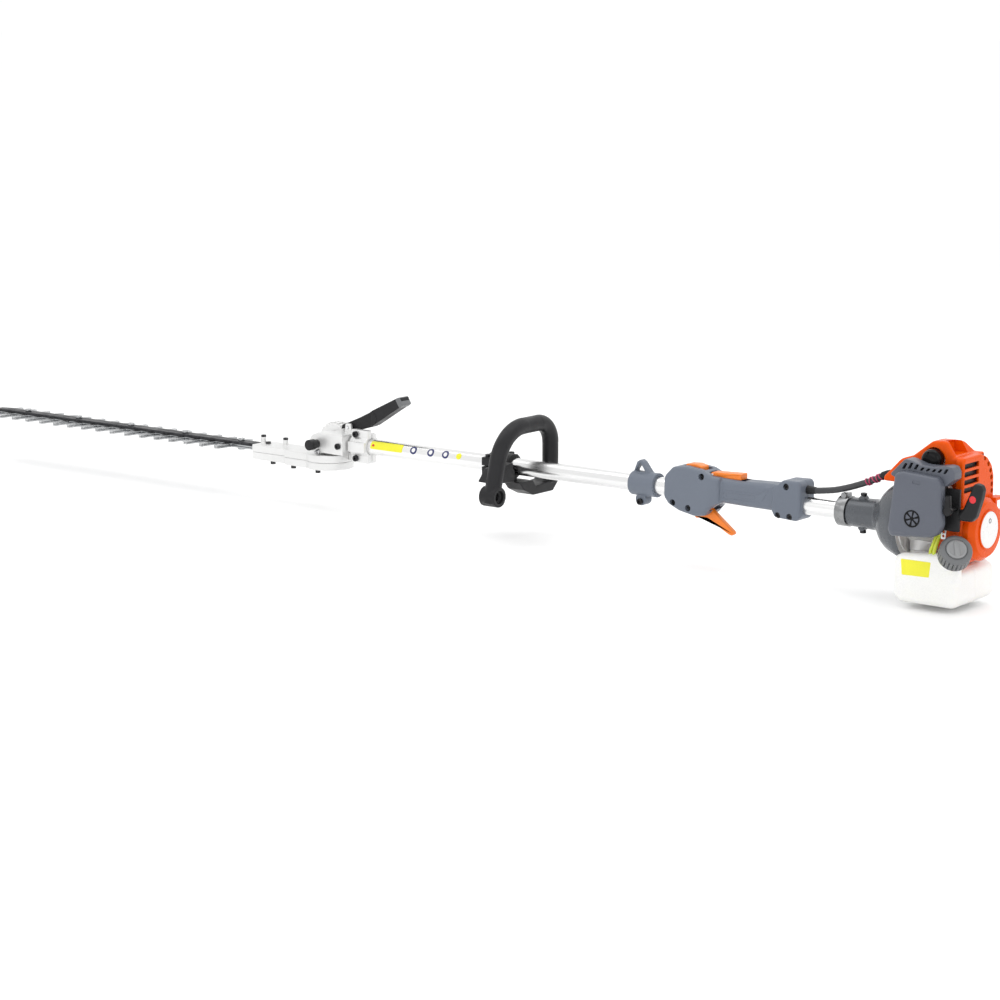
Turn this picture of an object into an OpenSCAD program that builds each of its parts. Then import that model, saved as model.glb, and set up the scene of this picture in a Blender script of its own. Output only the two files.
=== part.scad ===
// Long-reach petrol hedge trimmer: engine, pole with two handles, and a tilting double-sided cutter.
// +X runs along the pole from the cutter to the engine, +Z is up, -Y is the air filter side.
// The origin is the middle of the underside of the foot on the fuel tank.

/* [Pole] */
// Height of the pole's centre line above the foot
axis_h = 108; // [104:1:116]
// Outer diameter of the pole tube
tube_d = 25.4; // [24:0.2:26]
// Wall of the pole tube
tube_wall = 1.6; // [1.2:0.1:2]
// Front end of the pole tube
tube_front = -1026; // [-1030:1:-1022]
// Rear end of the pole tube
tube_rear = -112; // [-116:1:-108]
// Diameter of the drive shaft inside the tube
drive_d = 8; // [7:0.5:9]

/* [Cutter] */
// Pitch of the blade teeth
tooth_pitch = 34.6; // [32:0.1:36]
// Teeth along each edge of a blade
tooth_count = 17; // [12:1:17]
// Half width of a blade over its teeth
blade_half_w = 42; // [36:1:46]
// Half width of a blade's spine
spine_half_w = 13; // [12:1:14]
// Thickness of each blade
blade_t = 2.6; // [2:0.1:2.6]
// Thickness of the guide bar
bar_t = 3.6; // [3:0.2:3.8]
// Travel of each blade to either side of its middle
blade_stroke = 6; // [4:0.5:6]
// Number of bolts through the guide bar
blade_bolt_count = 5; // [4:1:5]

/* [Cutter head] */
// Where the tilt axis crosses the pole's centre line
tilt_x = -1080; // [-1082:1:-1078]
// Radius of the notched cheek around the tilt axis
cheek_r = 30; // [28:0.5:30]
// Angle between the notches of the cheek
notch_step = 15; // [12:1:18]
// Distance from the tilt axis down to the top of the gear case
case_drop = 17.2; // [17:0.1:18]
// Half width of the slim front of the gear case
case_half_w = 21; // [20:0.5:22]

/* [Handles] */
// Diameter of the loop handle's grip
loop_d = 24.5; // [22:0.5:26]
// Plane in which the loop handle stands
loop_x = -697; // [-699:1:-695]
// Half thickness of the throttle housing
housing_half_t = 23; // [21:0.5:24]
// Half thickness of the rear grip
grip_half_t = 17; // [16:0.5:18]

/* [Engine] */
// Middle of the cylinder along the pole
cyl_x = -16; // [-18:1:-14]
// Bore of the cylinder
bore_d = 34; // [32:0.5:35]
// Stroke of the piston
stroke = 28; // [26:1:28]
// Radius of the bell of the clutch housing
bell_r = 53; // [50:1:54]
// Rear face of the engine shroud
shroud_rear = 54; // [52:1:56]
// Rear face of the starter housing
starter_rear = 70; // [69:1:72]
// Diameter of the round badge on the starter housing
badge_d = 52; // [44:1:54]
// Diameter of the fuel cap
cap_d = 43; // [40:1:46]

/* [Hidden] */
$fn = 64;

gap = 0.35;
fit = 0.05;
tube_r = tube_d / 2;
tube_bore_r = tube_r - tube_wall;
drive_r = drive_d / 2;

bar_top = -case_drop - 1.6;
bar_low = bar_top - bar_t;
upper_top = bar_low - 0.3;
upper_low = upper_top - blade_t;
lower_top = upper_low - 0.3;
lower_low = lower_top - blade_t;
seam_z = lower_low - 0.9;
case_bottom = seam_z - 12;
case_wall = 2.5;
case_front = -1228;
wide_half_w = 30;
drum_r = 38;

blade_tip = -1853;
first_tooth = blade_tip + 10;
tooth_base = 16;
tooth_tip = 7;
first_bolt = -1780;
bolt_gap = 127.25;
bolt_r = 3;

crank_x = tilt_x - 36;
crank_gear_r = 26;
pinion_r = 9.4;
cam_r = 9;
cam_shaft_r = 2.6;
yoke_half = blade_stroke + cam_r + blade_stroke + 0.5;
yoke_side = cam_r + blade_stroke + 0.5;
yoke_wall = 4.2;
bevel_near = 5;
bevel_far = 9.8;
chamber_r = 14;
shell_r = 16.4;

lever_pin_x = -1036;
lever_pin_z = 27;
pin_r = 2.5;

trigger_pin = [-371, -20];
lockout_pin = [-354, 27];

loop_low_z = -45;
loop_r = 63;
loop_corner_r = 32;
loop_side = 68;
loop_top = loop_r - 1;
loop_lean = 15;

conduit_d = 9;
conduit_route = [[-214, 0, 22], [-194, 0, 22], [-177, 0, 24], [-160, 0, 27], [-139, 0, 33],
    [-117, 0, 41], [-98, 0, 49], [-82, 0, 57], [-68, 0, 61]];

crank_r = stroke / 2;
web_r = 21;
case_open_r = 24;
piston_top = 66;

// Placing and simple solids

module on_axis() { translate([0, 0, axis_h]) children(); }
module rod_x(x0, x1, r, y = 0, z = 0) {
    translate([x0, y, z]) rotate([0, 90, 0]) cylinder(h = x1 - x0, r = r);
}
module rod_y(y0, y1, r, x = 0, z = 0) {
    translate([x, y1, z]) rotate([90, 0, 0]) cylinder(h = y1 - y0, r = r);
}
module rod_z(z0, z1, r, x = 0, y = 0) { translate([x, y, z0]) cylinder(h = z1 - z0, r = r); }
module block(x, y, z) {
    translate([x[0], y[0], z[0]]) cube([x[1] - x[0], y[1] - y[0], z[1] - z[0]]);
}
module slab_x(x0, x1) { translate([x0, 0, 0]) rotate([90, 0, 90]) linear_extrude(x1 - x0) children(); }
module slab_y(y0, y1) { translate([0, y1, 0]) rotate([90, 0, 0]) linear_extrude(y1 - y0) children(); }
module slab_z(z0, z1) { translate([0, 0, z0]) linear_extrude(z1 - z0) children(); }
module spun_x() { rotate([0, 90, 0]) rotate_extrude() children(); }
module along_y() { rotate([90, 0, 0]) children(); }

// Outline of a gear with square-cut teeth
function gear_points(teeth, root, tip) = [
    for (i = [0:teeth - 1]) for (k = [[0, root], [0.12, tip], [0.42, tip], [0.54, root]])
        [k[1] * cos(360 * (i + k[0]) / teeth), k[1] * sin(360 * (i + k[0]) / teeth)]];

// A bevel gear on +Z whose cone has its point at the origin
module bevel(teeth, near, far) {
    intersection() {
        translate([0, 0, near]) linear_extrude(far - near) polygon(gear_points(teeth, far - 2, far));
        translate([0, 0, near]) cylinder(h = far - near, r1 = near - 0.45, r2 = far - 0.45);
    }
}

// A screw with a round head and a hexagon socket: its head's underside is at the origin, shank down
module socket_screw(r, length, head_r, head_h) {
    difference() {
        union() {
            cylinder(h = head_h, r = head_r);
            translate([0, 0, -length]) cylinder(h = length + 0.1, r = r);
        }
        translate([0, 0, head_h * 0.4]) cylinder(h = head_h, r = head_r * 0.5, $fn = 6);
    }
}
module screw_from_left(x, y, z, r = 2.5, length = 14, head_r = 4.2, head_h = 3.5) {
    translate([x, y, z]) rotate([90, 0, 0]) socket_screw(r, length, head_r, head_h);
}

// Cutter

function blade_edge(side) = [
    for (i = [0:tooth_count - 1])
        for (k = [[-tooth_base / 2, spine_half_w], [-tooth_tip / 2, blade_half_w],
                [tooth_tip / 2, blade_half_w], [tooth_base / 2, spine_half_w]])
            [first_tooth + i * tooth_pitch + k[0], side * k[1]]];
function reversed(list) = [for (i = [len(list) - 1:-1:0]) list[i]];

module blade(z0, z1) {
    yoke_x = [crank_x - yoke_half, crank_x + yoke_half];
    slot_half = blade_stroke + bolt_r + 0.8;
    difference() {
        union() {
            slab_z(z0, z1) polygon(concat([[blade_tip, -spine_half_w + 6], [blade_tip, spine_half_w - 6]],
                blade_edge(1), [[yoke_x[0], spine_half_w], [yoke_x[0], -spine_half_w]],
                reversed(blade_edge(-1))));
            block([yoke_x[0] - yoke_wall, yoke_x[1] + yoke_wall],
                [-yoke_side - yoke_wall, yoke_side + yoke_wall], [z0, z1]);
        }
        block(yoke_x, [-yoke_side, yoke_side], [z0 - 1, z1 + 1]);
        for (i = [0:blade_bolt_count - 1]) translate([first_bolt + i * bolt_gap, 0, 0])
            block([-slot_half, slot_half], [-bolt_r - 0.8, bolt_r + 0.8], [z0 - 1, z1 + 1]);
    }
}
module upper_blade() { color("silver") on_axis() blade(upper_low, upper_top); }
module lower_blade() { color("silver") on_axis() blade(lower_low, lower_top); }

module guide_bar() {
    color("dimgray") on_axis() difference() {
        slab_z(bar_low, bar_top) polygon([[blade_tip, -5], [blade_tip, 5], [blade_tip + 20, 11],
            [-1162, 11], [-1162, -11], [blade_tip + 20, -11]]);
        for (i = [0:blade_bolt_count - 1])
            rod_z(bar_low - 1, bar_top + 1, bolt_r, first_bolt + i * bolt_gap);
        for (x = [-1212, -1174]) rod_z(bar_low - 1, bar_top + 1, 2.5, x);
    }
}

module blade_bolts() {
    color("silver") on_axis() for (i = [0:blade_bolt_count - 1]) {
        x = first_bolt + i * bolt_gap;
        rod_z(lower_low - 1.2, bar_top + 2, bolt_r, x);
        rod_z(lower_low - 4.2, lower_low - 0.4, 6.5, x);
        translate([x, 0, bar_top]) cylinder(h = 4.5, r = 5.8, $fn = 6);
    }
}

// Gear case, which tilts with the cutter

module case_body(z0, z1, grow) {
    slab_z(z0, z1) polygon([[case_front - grow, -case_half_w - grow],
        [case_front - grow, case_half_w + grow], [-1158, case_half_w + grow],
        [-1150, wide_half_w + grow], [tilt_x, wide_half_w + grow],
        [tilt_x, -wide_half_w - grow], [-1150, -wide_half_w - grow], [-1158, -case_half_w - grow]]);
    rod_z(z0, z1, drum_r + grow, tilt_x);
}
under_screws = [[-1186, -17.4], [-1186, 17.4], [-1134, -26], [-1134, 26], [-1076, -33], [-1076, 33]];
under_screw_r = 1.8;
boss_r = 3.4;

module gear_case_lower() {
    color("gainsboro") on_axis() difference() {
        case_body(case_bottom, seam_z, 0);
        difference() {
            case_body(case_bottom + case_wall, seam_z + 1, -case_wall);
            for (p = under_screws) rod_z(case_bottom, seam_z + 2, boss_r, p[0], p[1]);
        }
        for (p = under_screws) rod_z(case_bottom - 1, seam_z + 1, under_screw_r, p[0], p[1]);
        rod_z(case_bottom + 1, seam_z, cam_shaft_r + fit, crank_x);
        rod_z(case_bottom + 1, seam_z, drive_r - 0.5 + fit, tilt_x);
    }
}

module sector(r, from, to) {
    steps = ceil((to - from) / 30);
    polygon(concat([[0, 0]], [for (i = [0:steps]) let (a = from + (to - from) * i / steps)
        [r * cos(a), r * sin(a)]]));
}

module gear_case_upper() {
    color("white") on_axis() difference() {
        union() {
            case_body(seam_z, -case_drop, 0);
            rod_y(10.3, 28, cheek_r, tilt_x, 0);
            block([tilt_x - cheek_r, tilt_x + 26], [10.3, 28], [-case_drop - 1, 0]);
            for (x = [-1222, -1174]) rod_z(-case_drop - 1, -7, 4.5, x);
            slab_y(-9.6, 10.4) translate([tilt_x, 0]) intersection() {
                difference() {
                    circle(r = shell_r + 3);
                    circle(r = shell_r + 0.4);
                }
                sector(2 * cheek_r, 168, 270);
            }
        }
        difference() {
            case_body(seam_z - 1, -case_drop - case_wall + 1, -case_wall);
            for (p = under_screws) rod_z(seam_z - 1, -case_drop, boss_r, p[0], p[1]);
            block([case_front, -1166], [-14, 14], [bar_top, 0]);
        }
        block([case_front - 1, -1200], [-17, 17], [seam_z - 1, bar_top + 0.05]);
        for (p = under_screws) rod_z(seam_z - 1, seam_z + 7, under_screw_r, p[0], p[1]);
        for (x = [-1212, -1174]) rod_z(seam_z - 1, -case_drop + 20, 2.5, x);
        rod_z(-15.2, -6, 2, -1222);
        rod_z(-case_drop - case_wall - 1, -case_drop + 2, drive_r - 0.5 + fit, tilt_x);
        rod_y(9, 30, drive_r + fit, tilt_x, 0);
        for (a = [40:notch_step:144])
            translate([tilt_x, 0, 0]) rotate([0, -a, 0])
                block([cheek_r - 4, cheek_r + 2], [9, 24], [-2, 2]);
    }
}

module gear_case_screws() {
    color("dimgray") on_axis() {
        for (p = under_screws) translate([p[0], p[1], case_bottom]) rotate([180, 0, 0])
            socket_screw(under_screw_r, 17, 4.1, 4.2);
        for (x = [-1212, -1174]) translate([x, 0, x > -1200 ? -7 : -case_drop])
            socket_screw(2.5, x > -1200 ? 15.4 : 5.2, 4.2, 3);
        translate([-1222, 0, -7]) socket_screw(2, 8, 4.2, 3);
    }
}

module crank_gear() {
    color("slategray") on_axis() {
        translate([crank_x, 0, case_bottom + 4.5]) linear_extrude(5.5)
            polygon(gear_points(26, crank_gear_r - 2.2, crank_gear_r));
        rod_z(case_bottom + 1.2, upper_top, cam_shaft_r, crank_x);
        rod_z(lower_low - 0.4, lower_top, cam_r, crank_x, -blade_stroke);
        rod_z(upper_low, upper_top, cam_r, crank_x, blade_stroke);
        rod_z(case_bottom + 10, lower_low, 6, crank_x);
    }
}

module output_shaft() {
    color("slategray") on_axis() translate([tilt_x, 0, 0]) {
        rotate([180, 0, 0]) bevel(14, bevel_near, bevel_far);
        rod_z(case_bottom + 1.2, -bevel_far + 0.1, drive_r - 0.5);
        translate([0, 0, case_bottom + 4.5]) linear_extrude(5.5)
            polygon(gear_points(10, pinion_r - 2.2, pinion_r));
    }
}

// Tilting joint, on the pole's side

module idler_gear() {
    color("slategray") on_axis() translate([tilt_x, 0, 0]) difference() {
        rotate([-90, 0, 0]) bevel(14, bevel_near, bevel_far);
        rod_y(0, 12, drive_r + fit);
    }
}

module input_pinion() {
    color("slategray") on_axis() translate([tilt_x, 0, 0]) {
        rotate([0, 90, 0]) bevel(14, bevel_near, bevel_far);
        rod_x(bevel_far - 0.1, 20, 5.5);
    }
}

module tilt_bolt() {
    color("dimgray") on_axis() translate([tilt_x, 0, 0]) {
        rod_y(-34, -3.2, drive_r);
        rod_y(4.6, 31, drive_r);
        rod_y(-3.3, 4.7, 2.4);
        rod_y(-38, -30, 6.8);
        rod_y(-50, -37.9, 8.4);
        rod_y(28 + gap, 34, 8);
    }
}

module clamp_profile(side) {
    intersection() {
        union() {
            circle(r = 17.5);
            translate([-10, -26]) square([20, side > 0 ? 46 : 52]);
            translate([-20, -8]) square([40, 16]);
        }
        translate([side > 0 ? 0.4 : -40, -40]) square([39.6, 80]);
    }
}

module joint_housing() {
    color("white") on_axis() difference() {
        union() {
            rod_y(-30, -10, shell_r, tilt_x, 0);
            block([tilt_x, -1028], [-30, -10], [-14, 18]);
            block([tilt_x + 12, -1028], [-12, 9.7], [-14, 18]);
            slab_y(-10.1, 9.7) translate([tilt_x, 0]) intersection() {
                circle(r = shell_r);
                sector(2 * cheek_r, -60, 160);
            }
            block([-1046, -1028], [-20, 20], [-14, 18]);
            slab_x(-1046, -1028) clamp_profile(1);
            slab_x(-1030, -992) clamp_profile(1);
            for (y = [-8, 12]) slab_y(y, y + 5)
                polygon([[-1042, 15], [-1040, 33], [-1030, 33], [-1026, 15]]);
        }
        slab_y(-10.2, 10.2) translate([tilt_x, 0]) circle(r = chamber_r);
        rod_x(tilt_x + 10, -1025, 6.2);
        rod_x(tube_front, -990, tube_r);
        rod_y(-31, -9, drive_r, tilt_x, 0);
        for (z = [-19, 19]) rod_y(-1, 25, 2.5, -1016, z);
        rod_y(-31, -15, 2.5, -1036, 0);
        rod_y(-10, 20, pin_r, lever_pin_x, lever_pin_z);
        rod_z(-30, -case_drop + gap, drum_r + gap, tilt_x);
    }
}

module tube_clamp_cap() {
    color("white") on_axis() difference() {
        slab_x(-1025.7, -992) clamp_profile(-1);
        rod_x(-1030, -990, tube_r);
        for (z = [-19, 19]) rod_y(-25, 1, 2.5, -1016, z);
    }
}

module head_screws() {
    color("dimgray") on_axis() {
        for (z = [-19, 19]) screw_from_left(-1016, -10, z, 2.5, 19, 4.8, 4);
        screw_from_left(-1036, -30, 0, 2.5, 12, 4.8, 3.5);
    }
}

// Locking lever: squeezing it towards the pole lifts its pawl off the notched cheek

module adjusting_lever() {
    color("dimgray") on_axis() difference() {
        union() {
            slab_y(0.2, 11.5) polygon([[-1045, 25], [-1043, 33], [-1017, 44], [-935, 83],
                [-930, 83], [-925, 72], [-990, 32], [-1018, 24], [-1032, 20.9]]);
            slab_y(-5, 15) polygon([[-989, 57.3], [-935, 83], [-930, 83], [-925, 72], [-989, 32.6]]);
            slab_y(0.2, 20) polygon([[-1056.5, 21.5], [-1054, 29], [-1044.4, 33], [-1044.4, 26]]);
        }
        rod_y(-4, 20, pin_r + fit, lever_pin_x, lever_pin_z);
    }
}

module lever_pin() { color("silver") on_axis() rod_y(-9, 18, pin_r, lever_pin_x, lever_pin_z); }

// Pole and its drive shaft

module shaft_tube() {
    color("silver") on_axis() difference() {
        rod_x(tube_front, tube_rear, tube_r);
        rod_x(tube_front - 1, tube_rear + 1, tube_bore_r);
    }
}

module drive_shaft() {
    color("slategray") on_axis() {
        rod_x(tilt_x + 20, -74, drive_r);
        rod_x(-74.1, -66, 5);
    }
}

module shaft_bushes() {
    color("black") on_axis() for (i = [0:4]) {
        x = -980 + i * 200;
        difference() {
            rod_x(x, x + 24, tube_bore_r);
            rod_x(x - 1, x + 25, drive_r + fit);
        }
    }
}

// Loop handle

module bent_rod(y, z, bend_r, from, to) {
    translate([loop_x, y, z]) rotate([90, 0, 90]) intersection() {
        rotate_extrude() translate([bend_r, 0]) circle(r = loop_d / 2 + 0.2);
        translate([0, 0, -loop_d]) linear_extrude(2 * loop_d) sector(3 * bend_r, from - 1, to + 1);
    }
}
lean_start = [-loop_r * cos(loop_lean), loop_r * sin(loop_lean) - 1];
lean_len = (lean_start[1] - loop_low_z) / cos(loop_lean);
eye_y = -72;
eye_z = -34;

module loop_handle() {
    color("black") on_axis() difference() {
        union() {
            bent_rod(0, -1, loop_r, 90, 180 - loop_lean);
            rod_y(0, loop_side - loop_corner_r, loop_d / 2, loop_x, loop_top);
            bent_rod(loop_side - loop_corner_r, loop_top - loop_corner_r, loop_corner_r, 0, 90);
            rod_z(-30, loop_top - loop_corner_r, loop_d / 2, loop_x, loop_side);
            translate([loop_x, lean_start[0], lean_start[1]]) rotate([180 - loop_lean, 0, 0])
                rod_z(0, lean_len, loop_d / 2);
            rod_x(-712, -684, 15, eye_y, eye_z);
            slab_x(-722, -690) polygon([[-16, -21], [16, -21], [24, -31], [60, -28], [80, -14],
                [80, -30], [66, -44], [18, -44], [-4, -34]]);
            slab_x(-722, -700) polygon([[-16, -20], [-16, -1], [-19, -1], [-19, 9], [-60, 4],
                [-76, -14], [-60, -18]]);
            slab_x(-754, -712) intersection() {
                union() {
                    circle(r = 20);
                    for (side = [-1, 1]) translate([side * 19 - 8, -13]) square([16, 12]);
                }
                translate([-40, -40]) square([80, 39.6]);
            }
        }
        rod_x(-800, -680, tube_r);
        rod_x(-713, -689, 6, eye_y, eye_z);
        rod_x(-690, -683, 9.5, eye_y, eye_z);
        for (x = [-747, -733]) for (y = [-19, 19]) rod_z(-14, 0, 2.5, x, y);
    }
}

module loop_clamp_cap() {
    color("black") on_axis() difference() {
        union() {
            slab_x(-754, -712) intersection() {
                circle(r = 18);
                translate([-40, 0.4]) square([80, 39.6]);
            }
            for (side = [-1, 1]) block([-754, -726], [side * 19 - 8, side * 19 + 8], [0.4, 13]);
        }
        rod_x(-780, -700, tube_r);
        for (x = [-747, -733]) for (y = [-19, 19]) rod_z(-1, 20, 2.5, x, y);
    }
}

module loop_screws() {
    color("dimgray") on_axis() for (x = [-747, -733]) for (y = [-19, 19])
        translate([x, y, 13]) socket_screw(2.5, 25, 4.6, 4);
}

// Harness ring

module harness_ring() {
    color("slategray") on_axis() difference() {
        union() {
            slab_y(-6, 6) polygon([[-494, 12], [-486, 32], [-481, 35], [-476, 32], [-460, 12]]);
            rod_x(-495, -452, 17.5);
            slab_y(-8, 8) translate([-478, -22]) circle(r = 9);
        }
        slab_y(-7, 7) polygon([[-490, 17.6], [-481, 31], [-471.5, 17.6]]);
        rod_x(-520, -440, tube_r);
        rod_y(-20, 20, 2.5, -478, -25);
    }
}
module harness_screw() { color("dimgray") on_axis() screw_from_left(-478, -8, -25, 2.5, 14, 4.6, 4); }

// Throttle housing: two shells clamped on the pole

housing_screw_places = [[-365, 25], [-387, -22], [-413, -17], [-228, 26], [-241, -15.5], [-222, -15.5]];

module front_profile() {
    polygon([[-426, -12], [-424, 26], [-415, 34], [-394, 37], [-368, 34], [-350, 26], [-341, 26],
        [-341, -10], [-350, -17], [-362, -31], [-378, -33], [-404, -28], [-422, -20]]);
}
module grip_profile() { polygon([[-342, -10], [-342, 26], [-240, 27], [-240, -12]]); }
module rear_profile() {
    polygon([[-252, -10], [-247, -19], [-212, -21], [-205, -14], [-205, 30], [-209, 35],
        [-235, 34], [-243, 27], [-252, 26]]);
}
module housing_half(side) {
    difference() {
        union() {
            slab_y(side > 0 ? 0 : -housing_half_t, side > 0 ? housing_half_t : 0) front_profile();
            slab_y(side > 0 ? 0 : -grip_half_t, side > 0 ? grip_half_t : 0) grip_profile();
            slab_y(side > 0 ? 0 : -grip_half_t - 3, side > 0 ? grip_half_t + 3 : 0) rear_profile();
        }
        rod_x(-430, -200, tube_r);
        block([-420, -352], [-16, 16], [-24, 24]);
        block([-392, -346], [-5.5, 5.5], [-40, -10]);
        block([-404, -366], [-10.3, 10.3], [20, 40]);
        block([-361, -300], [-9.6, 9.6], [14, 42]);
        rod_x(-216, -200, conduit_d / 2, 0, 22);
        for (p = housing_screw_places) rod_y(-30, 12, 2.5, p[0], p[1]);
        for (p = housing_screw_places) rod_y(-30, -grip_half_t + 3, 4.6, p[0], p[1]);
        rod_y(-18, 18, pin_r, trigger_pin[0], trigger_pin[1]);
        rod_y(-14, 14, pin_r, lockout_pin[0], lockout_pin[1]);
    }
}
module housing_left() { color("slategray") on_axis() housing_half(-1); }
module housing_right() { color("slategray") on_axis() housing_half(1); }
module housing_screws() {
    color("dimgray") on_axis() for (p = housing_screw_places)
        screw_from_left(p[0], -grip_half_t + 3, p[1], 2.5, 20, 4.2, 3);
}

module throttle_trigger() {
    color("darkorange") on_axis() difference() {
        slab_y(-4.5, 4.5) polygon([[-375.5, -15.4], [-368.5, -14.2], [-358, -24], [-324, -50], [-321, -54],
            [-325, -57], [-330, -56], [-366, -37], [-386, -38.5], [-388, -35], [-379, -28]]);
        rod_y(-6, 6, pin_r + fit, trigger_pin[0], trigger_pin[1]);
    }
}
module trigger_lockout() {
    color("darkorange") on_axis() difference() {
        slab_y(-9, 9) polygon([[-358, 24], [-358, 31], [-330, 32], [-308, 33], [-308, 24], [-330, 23],
            [-350, 22]]);
        rod_y(-10, 10, pin_r + fit, lockout_pin[0], lockout_pin[1]);
    }
}
module control_pins() {
    color("silver") on_axis() {
        rod_y(-16, 16, pin_r, trigger_pin[0], trigger_pin[1]);
        rod_y(-13, 13, pin_r, lockout_pin[0], lockout_pin[1]);
    }
}
module stop_switch() {
    color("darkorange") on_axis() {
        slab_y(-9.6, 9.6) polygon([[-400, 25], [-400, 38.5], [-384, 39.5], [-373, 37], [-373, 25]]);
    }
}

// Outer sheath of the throttle cable, swept along its route

function unit(v) = v / norm(v);
module conduit_tube(route, r) {
    sides = 12;
    last = len(route) - 1;
    rings = [for (i = [0:last]) let (d = unit(route[min(i + 1, last)] - route[max(i - 1, 0)]),
        side = unit(cross([0, 0, 1], d)), up = cross(d, side))
        for (k = [0:sides - 1]) route[i] + r * (cos(360 * k / sides) * side + sin(360 * k / sides) * up)];
    walls = [for (i = [0:last - 1]) for (k = [0:sides - 1]) let (n = (k + 1) % sides)
        [i * sides + k, (i + 1) * sides + k, (i + 1) * sides + n, i * sides + n]];
    polyhedron(rings, concat(walls, [[for (k = [0:sides - 1]) k]],
        [[for (k = [sides - 1:-1:0]) last * sides + k]]));
}
module throttle_conduit() {
    color("dimgray") on_axis() conduit_tube(conduit_route, conduit_d / 2 - 0.1);
}

// Clutch

ring_bolt_x = -143.5;
module tube_clamp_ring() {
    color("silver") on_axis() {
        difference() {
            union() {
                rod_x(-151, -136, 21);
                block([-148, -139], [-6, 6], [18, 25]);
            }
            rod_x(-152, -135, 17.5);
            rod_y(-9, 9, 2.5, ring_bolt_x, 22.3);
        }
        rod_y(-9, 9, 2.5, ring_bolt_x, 22.3);
        rod_y(-9, -6, 4, ring_bolt_x, 22.3);
    }
}

bell_rim = -42;
snout_bolt_x = -117;
module clutch_housing() {
    color("slategray") on_axis() difference() {
        union() {
            spun_x() polygon([[0, -151], [17.5, -151], [17.5, -135.6], [19.7, -134], [21.5, -92], [24, -88],
                [31, -82], [39, -76], [45.5, -68], [50, -58], [bell_r, -50], [bell_r, bell_rim], [0, bell_rim]]);
            for (z = [-1, 1]) rod_y(-5, 5, 5, snout_bolt_x, z * 19);
        }
        rod_x(-152, tube_rear, tube_r);
        rod_x(tube_rear - 1, -79, 11);
        spun_x() polygon([[0, -80], [18, -79.5], [26, -76], [34, -70], [41, -63], [46, -56],
            [bell_r - 3.5, -49], [bell_r - 3.5, bell_rim + 1], [0, bell_rim + 1]]);
        for (z = [-1, 1]) rod_z(z > 0 ? 10 : -30, z > 0 ? 30 : -10, 2.5, snout_bolt_x, 0);
    }
}
module clutch_screws() {
    color("dimgray") on_axis() for (z = [-1, 1]) translate([snout_bolt_x, 0, z * 24])
        rotate([z > 0 ? 0 : 180, 0, 0]) socket_screw(2.5, 11, 4.4, 3.5);
}

module clutch_drum() {
    color("dimgray") on_axis() difference() {
        union() {
            rod_x(-79, -68, 8);
            rod_x(-70, -50, 31);
        }
        rod_x(-66.4, -49, 28.5);
        rod_x(-80, -66, 5);
    }
}

module clutch_shoes() {
    color("peru") on_axis() difference() {
        rod_x(-64, -52, 26.5);
        rod_x(-65, -51, 9);
        for (a = [0, 180]) rotate([a, 0, 0]) block([-65, -51], [-1.5, 1.5], [0, 30]);
    }
}

// Engine

module crankcase() {
    color("silver") on_axis() difference() {
        union() {
            rod_x(cyl_x - 22, cyl_x + 22, 30);
            block([cyl_x - 22, cyl_x + 22], [-26, 26], [0, 30]);
            rod_x(bell_rim, bell_rim + 3, bell_r);
            rod_x(bell_rim + 2.9, cyl_x - 21, bell_r - 7);
            rod_x(cyl_x + 21, cyl_x + 32, 16);
            block([cyl_x - 18, cyl_x + 18], [-20, 20], [-36, -20]);
        }
        rod_x(cyl_x - 16, cyl_x + 16, case_open_r);
        rod_x(bell_rim - 1, 30, 6 + fit);
        rod_z(0, 31, bore_d / 2 + 0.4, cyl_x);
    }
}

module crankshaft() {
    color("silver") on_axis() for (side = [-1, 1]) {
        rod_x(side < 0 ? -65.5 : cyl_x + 4.4, side < 0 ? cyl_x - 4.4 : 54, 6);
        if (side < 0) rod_x(-64, -52, 9);
        rod_x(cyl_x + (side < 0 ? -13 : 5), cyl_x + (side < 0 ? -5 : 13), web_r);
        rod_x(cyl_x + (side < 0 ? -6 : 4.4), cyl_x + (side < 0 ? -4.4 : 6), 4.5, -crank_r, 0);
    }
}

module connecting_rod() {
    color("silver") on_axis() difference() {
        union() {
            rod_x(cyl_x - 4, cyl_x + 4, 8, 0, 0);
            rod_x(cyl_x - 4, cyl_x + 4, 6, 0, piston_top - 14);
            block([cyl_x - 2.5, cyl_x + 2.5], [-3.5, 3.5], [6, piston_top - 18]);
        }
        rod_x(cyl_x - 5, cyl_x + 5, 4.6, 0, 0);
        rod_x(cyl_x - 5, cyl_x + 5, 4, 0, piston_top - 14);
    }
}

module piston() {
    color("silver") on_axis() {
        difference() {
            rod_z(piston_top - 24, piston_top, bore_d / 2 - fit, cyl_x);
            rod_z(piston_top - 25, piston_top - 4, bore_d / 2 - 3, cyl_x);
        }
        rod_x(cyl_x - bore_d / 2 + 1, cyl_x + bore_d / 2 - 1, 3.95, 0, piston_top - 14);
    }
}

module cylinder_barrel() {
    color("silver") on_axis() difference() {
        union() {
            rod_z(30, 85.5, bore_d / 2 + 4, cyl_x);
            for (i = [0:6]) block([cyl_x - 27, cyl_x + 27], [-27, 27], [40 + i * 6, 42 + i * 6]);
            block([cyl_x - 24, cyl_x + 24], [-24, 24], [30, 34]);
            block([cyl_x, 12.5], [-21.8, 12], [80, 94]);
            block([cyl_x - 12, cyl_x + 12], [-34, 0], [44, 62]);
            block([cyl_x - 13, cyl_x + 13], [0, 34], [44, 66]);
        }
        rod_z(29, piston_top + stroke / 2 + 1, bore_d / 2, cyl_x);
        rod_y(-35, 0, 6, cyl_x, 53);
        rod_y(0, 35, 7, cyl_x, 55);
        rod_y(-35, -17.9, 5, plug_x, plug_z);
        rod_x(bell_rim - 2, cyl_x - 20.7, bell_r + gap);
        rod_x(cyl_x - 30, cyl_x + 30, 30 + fit);
    }
}

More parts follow.
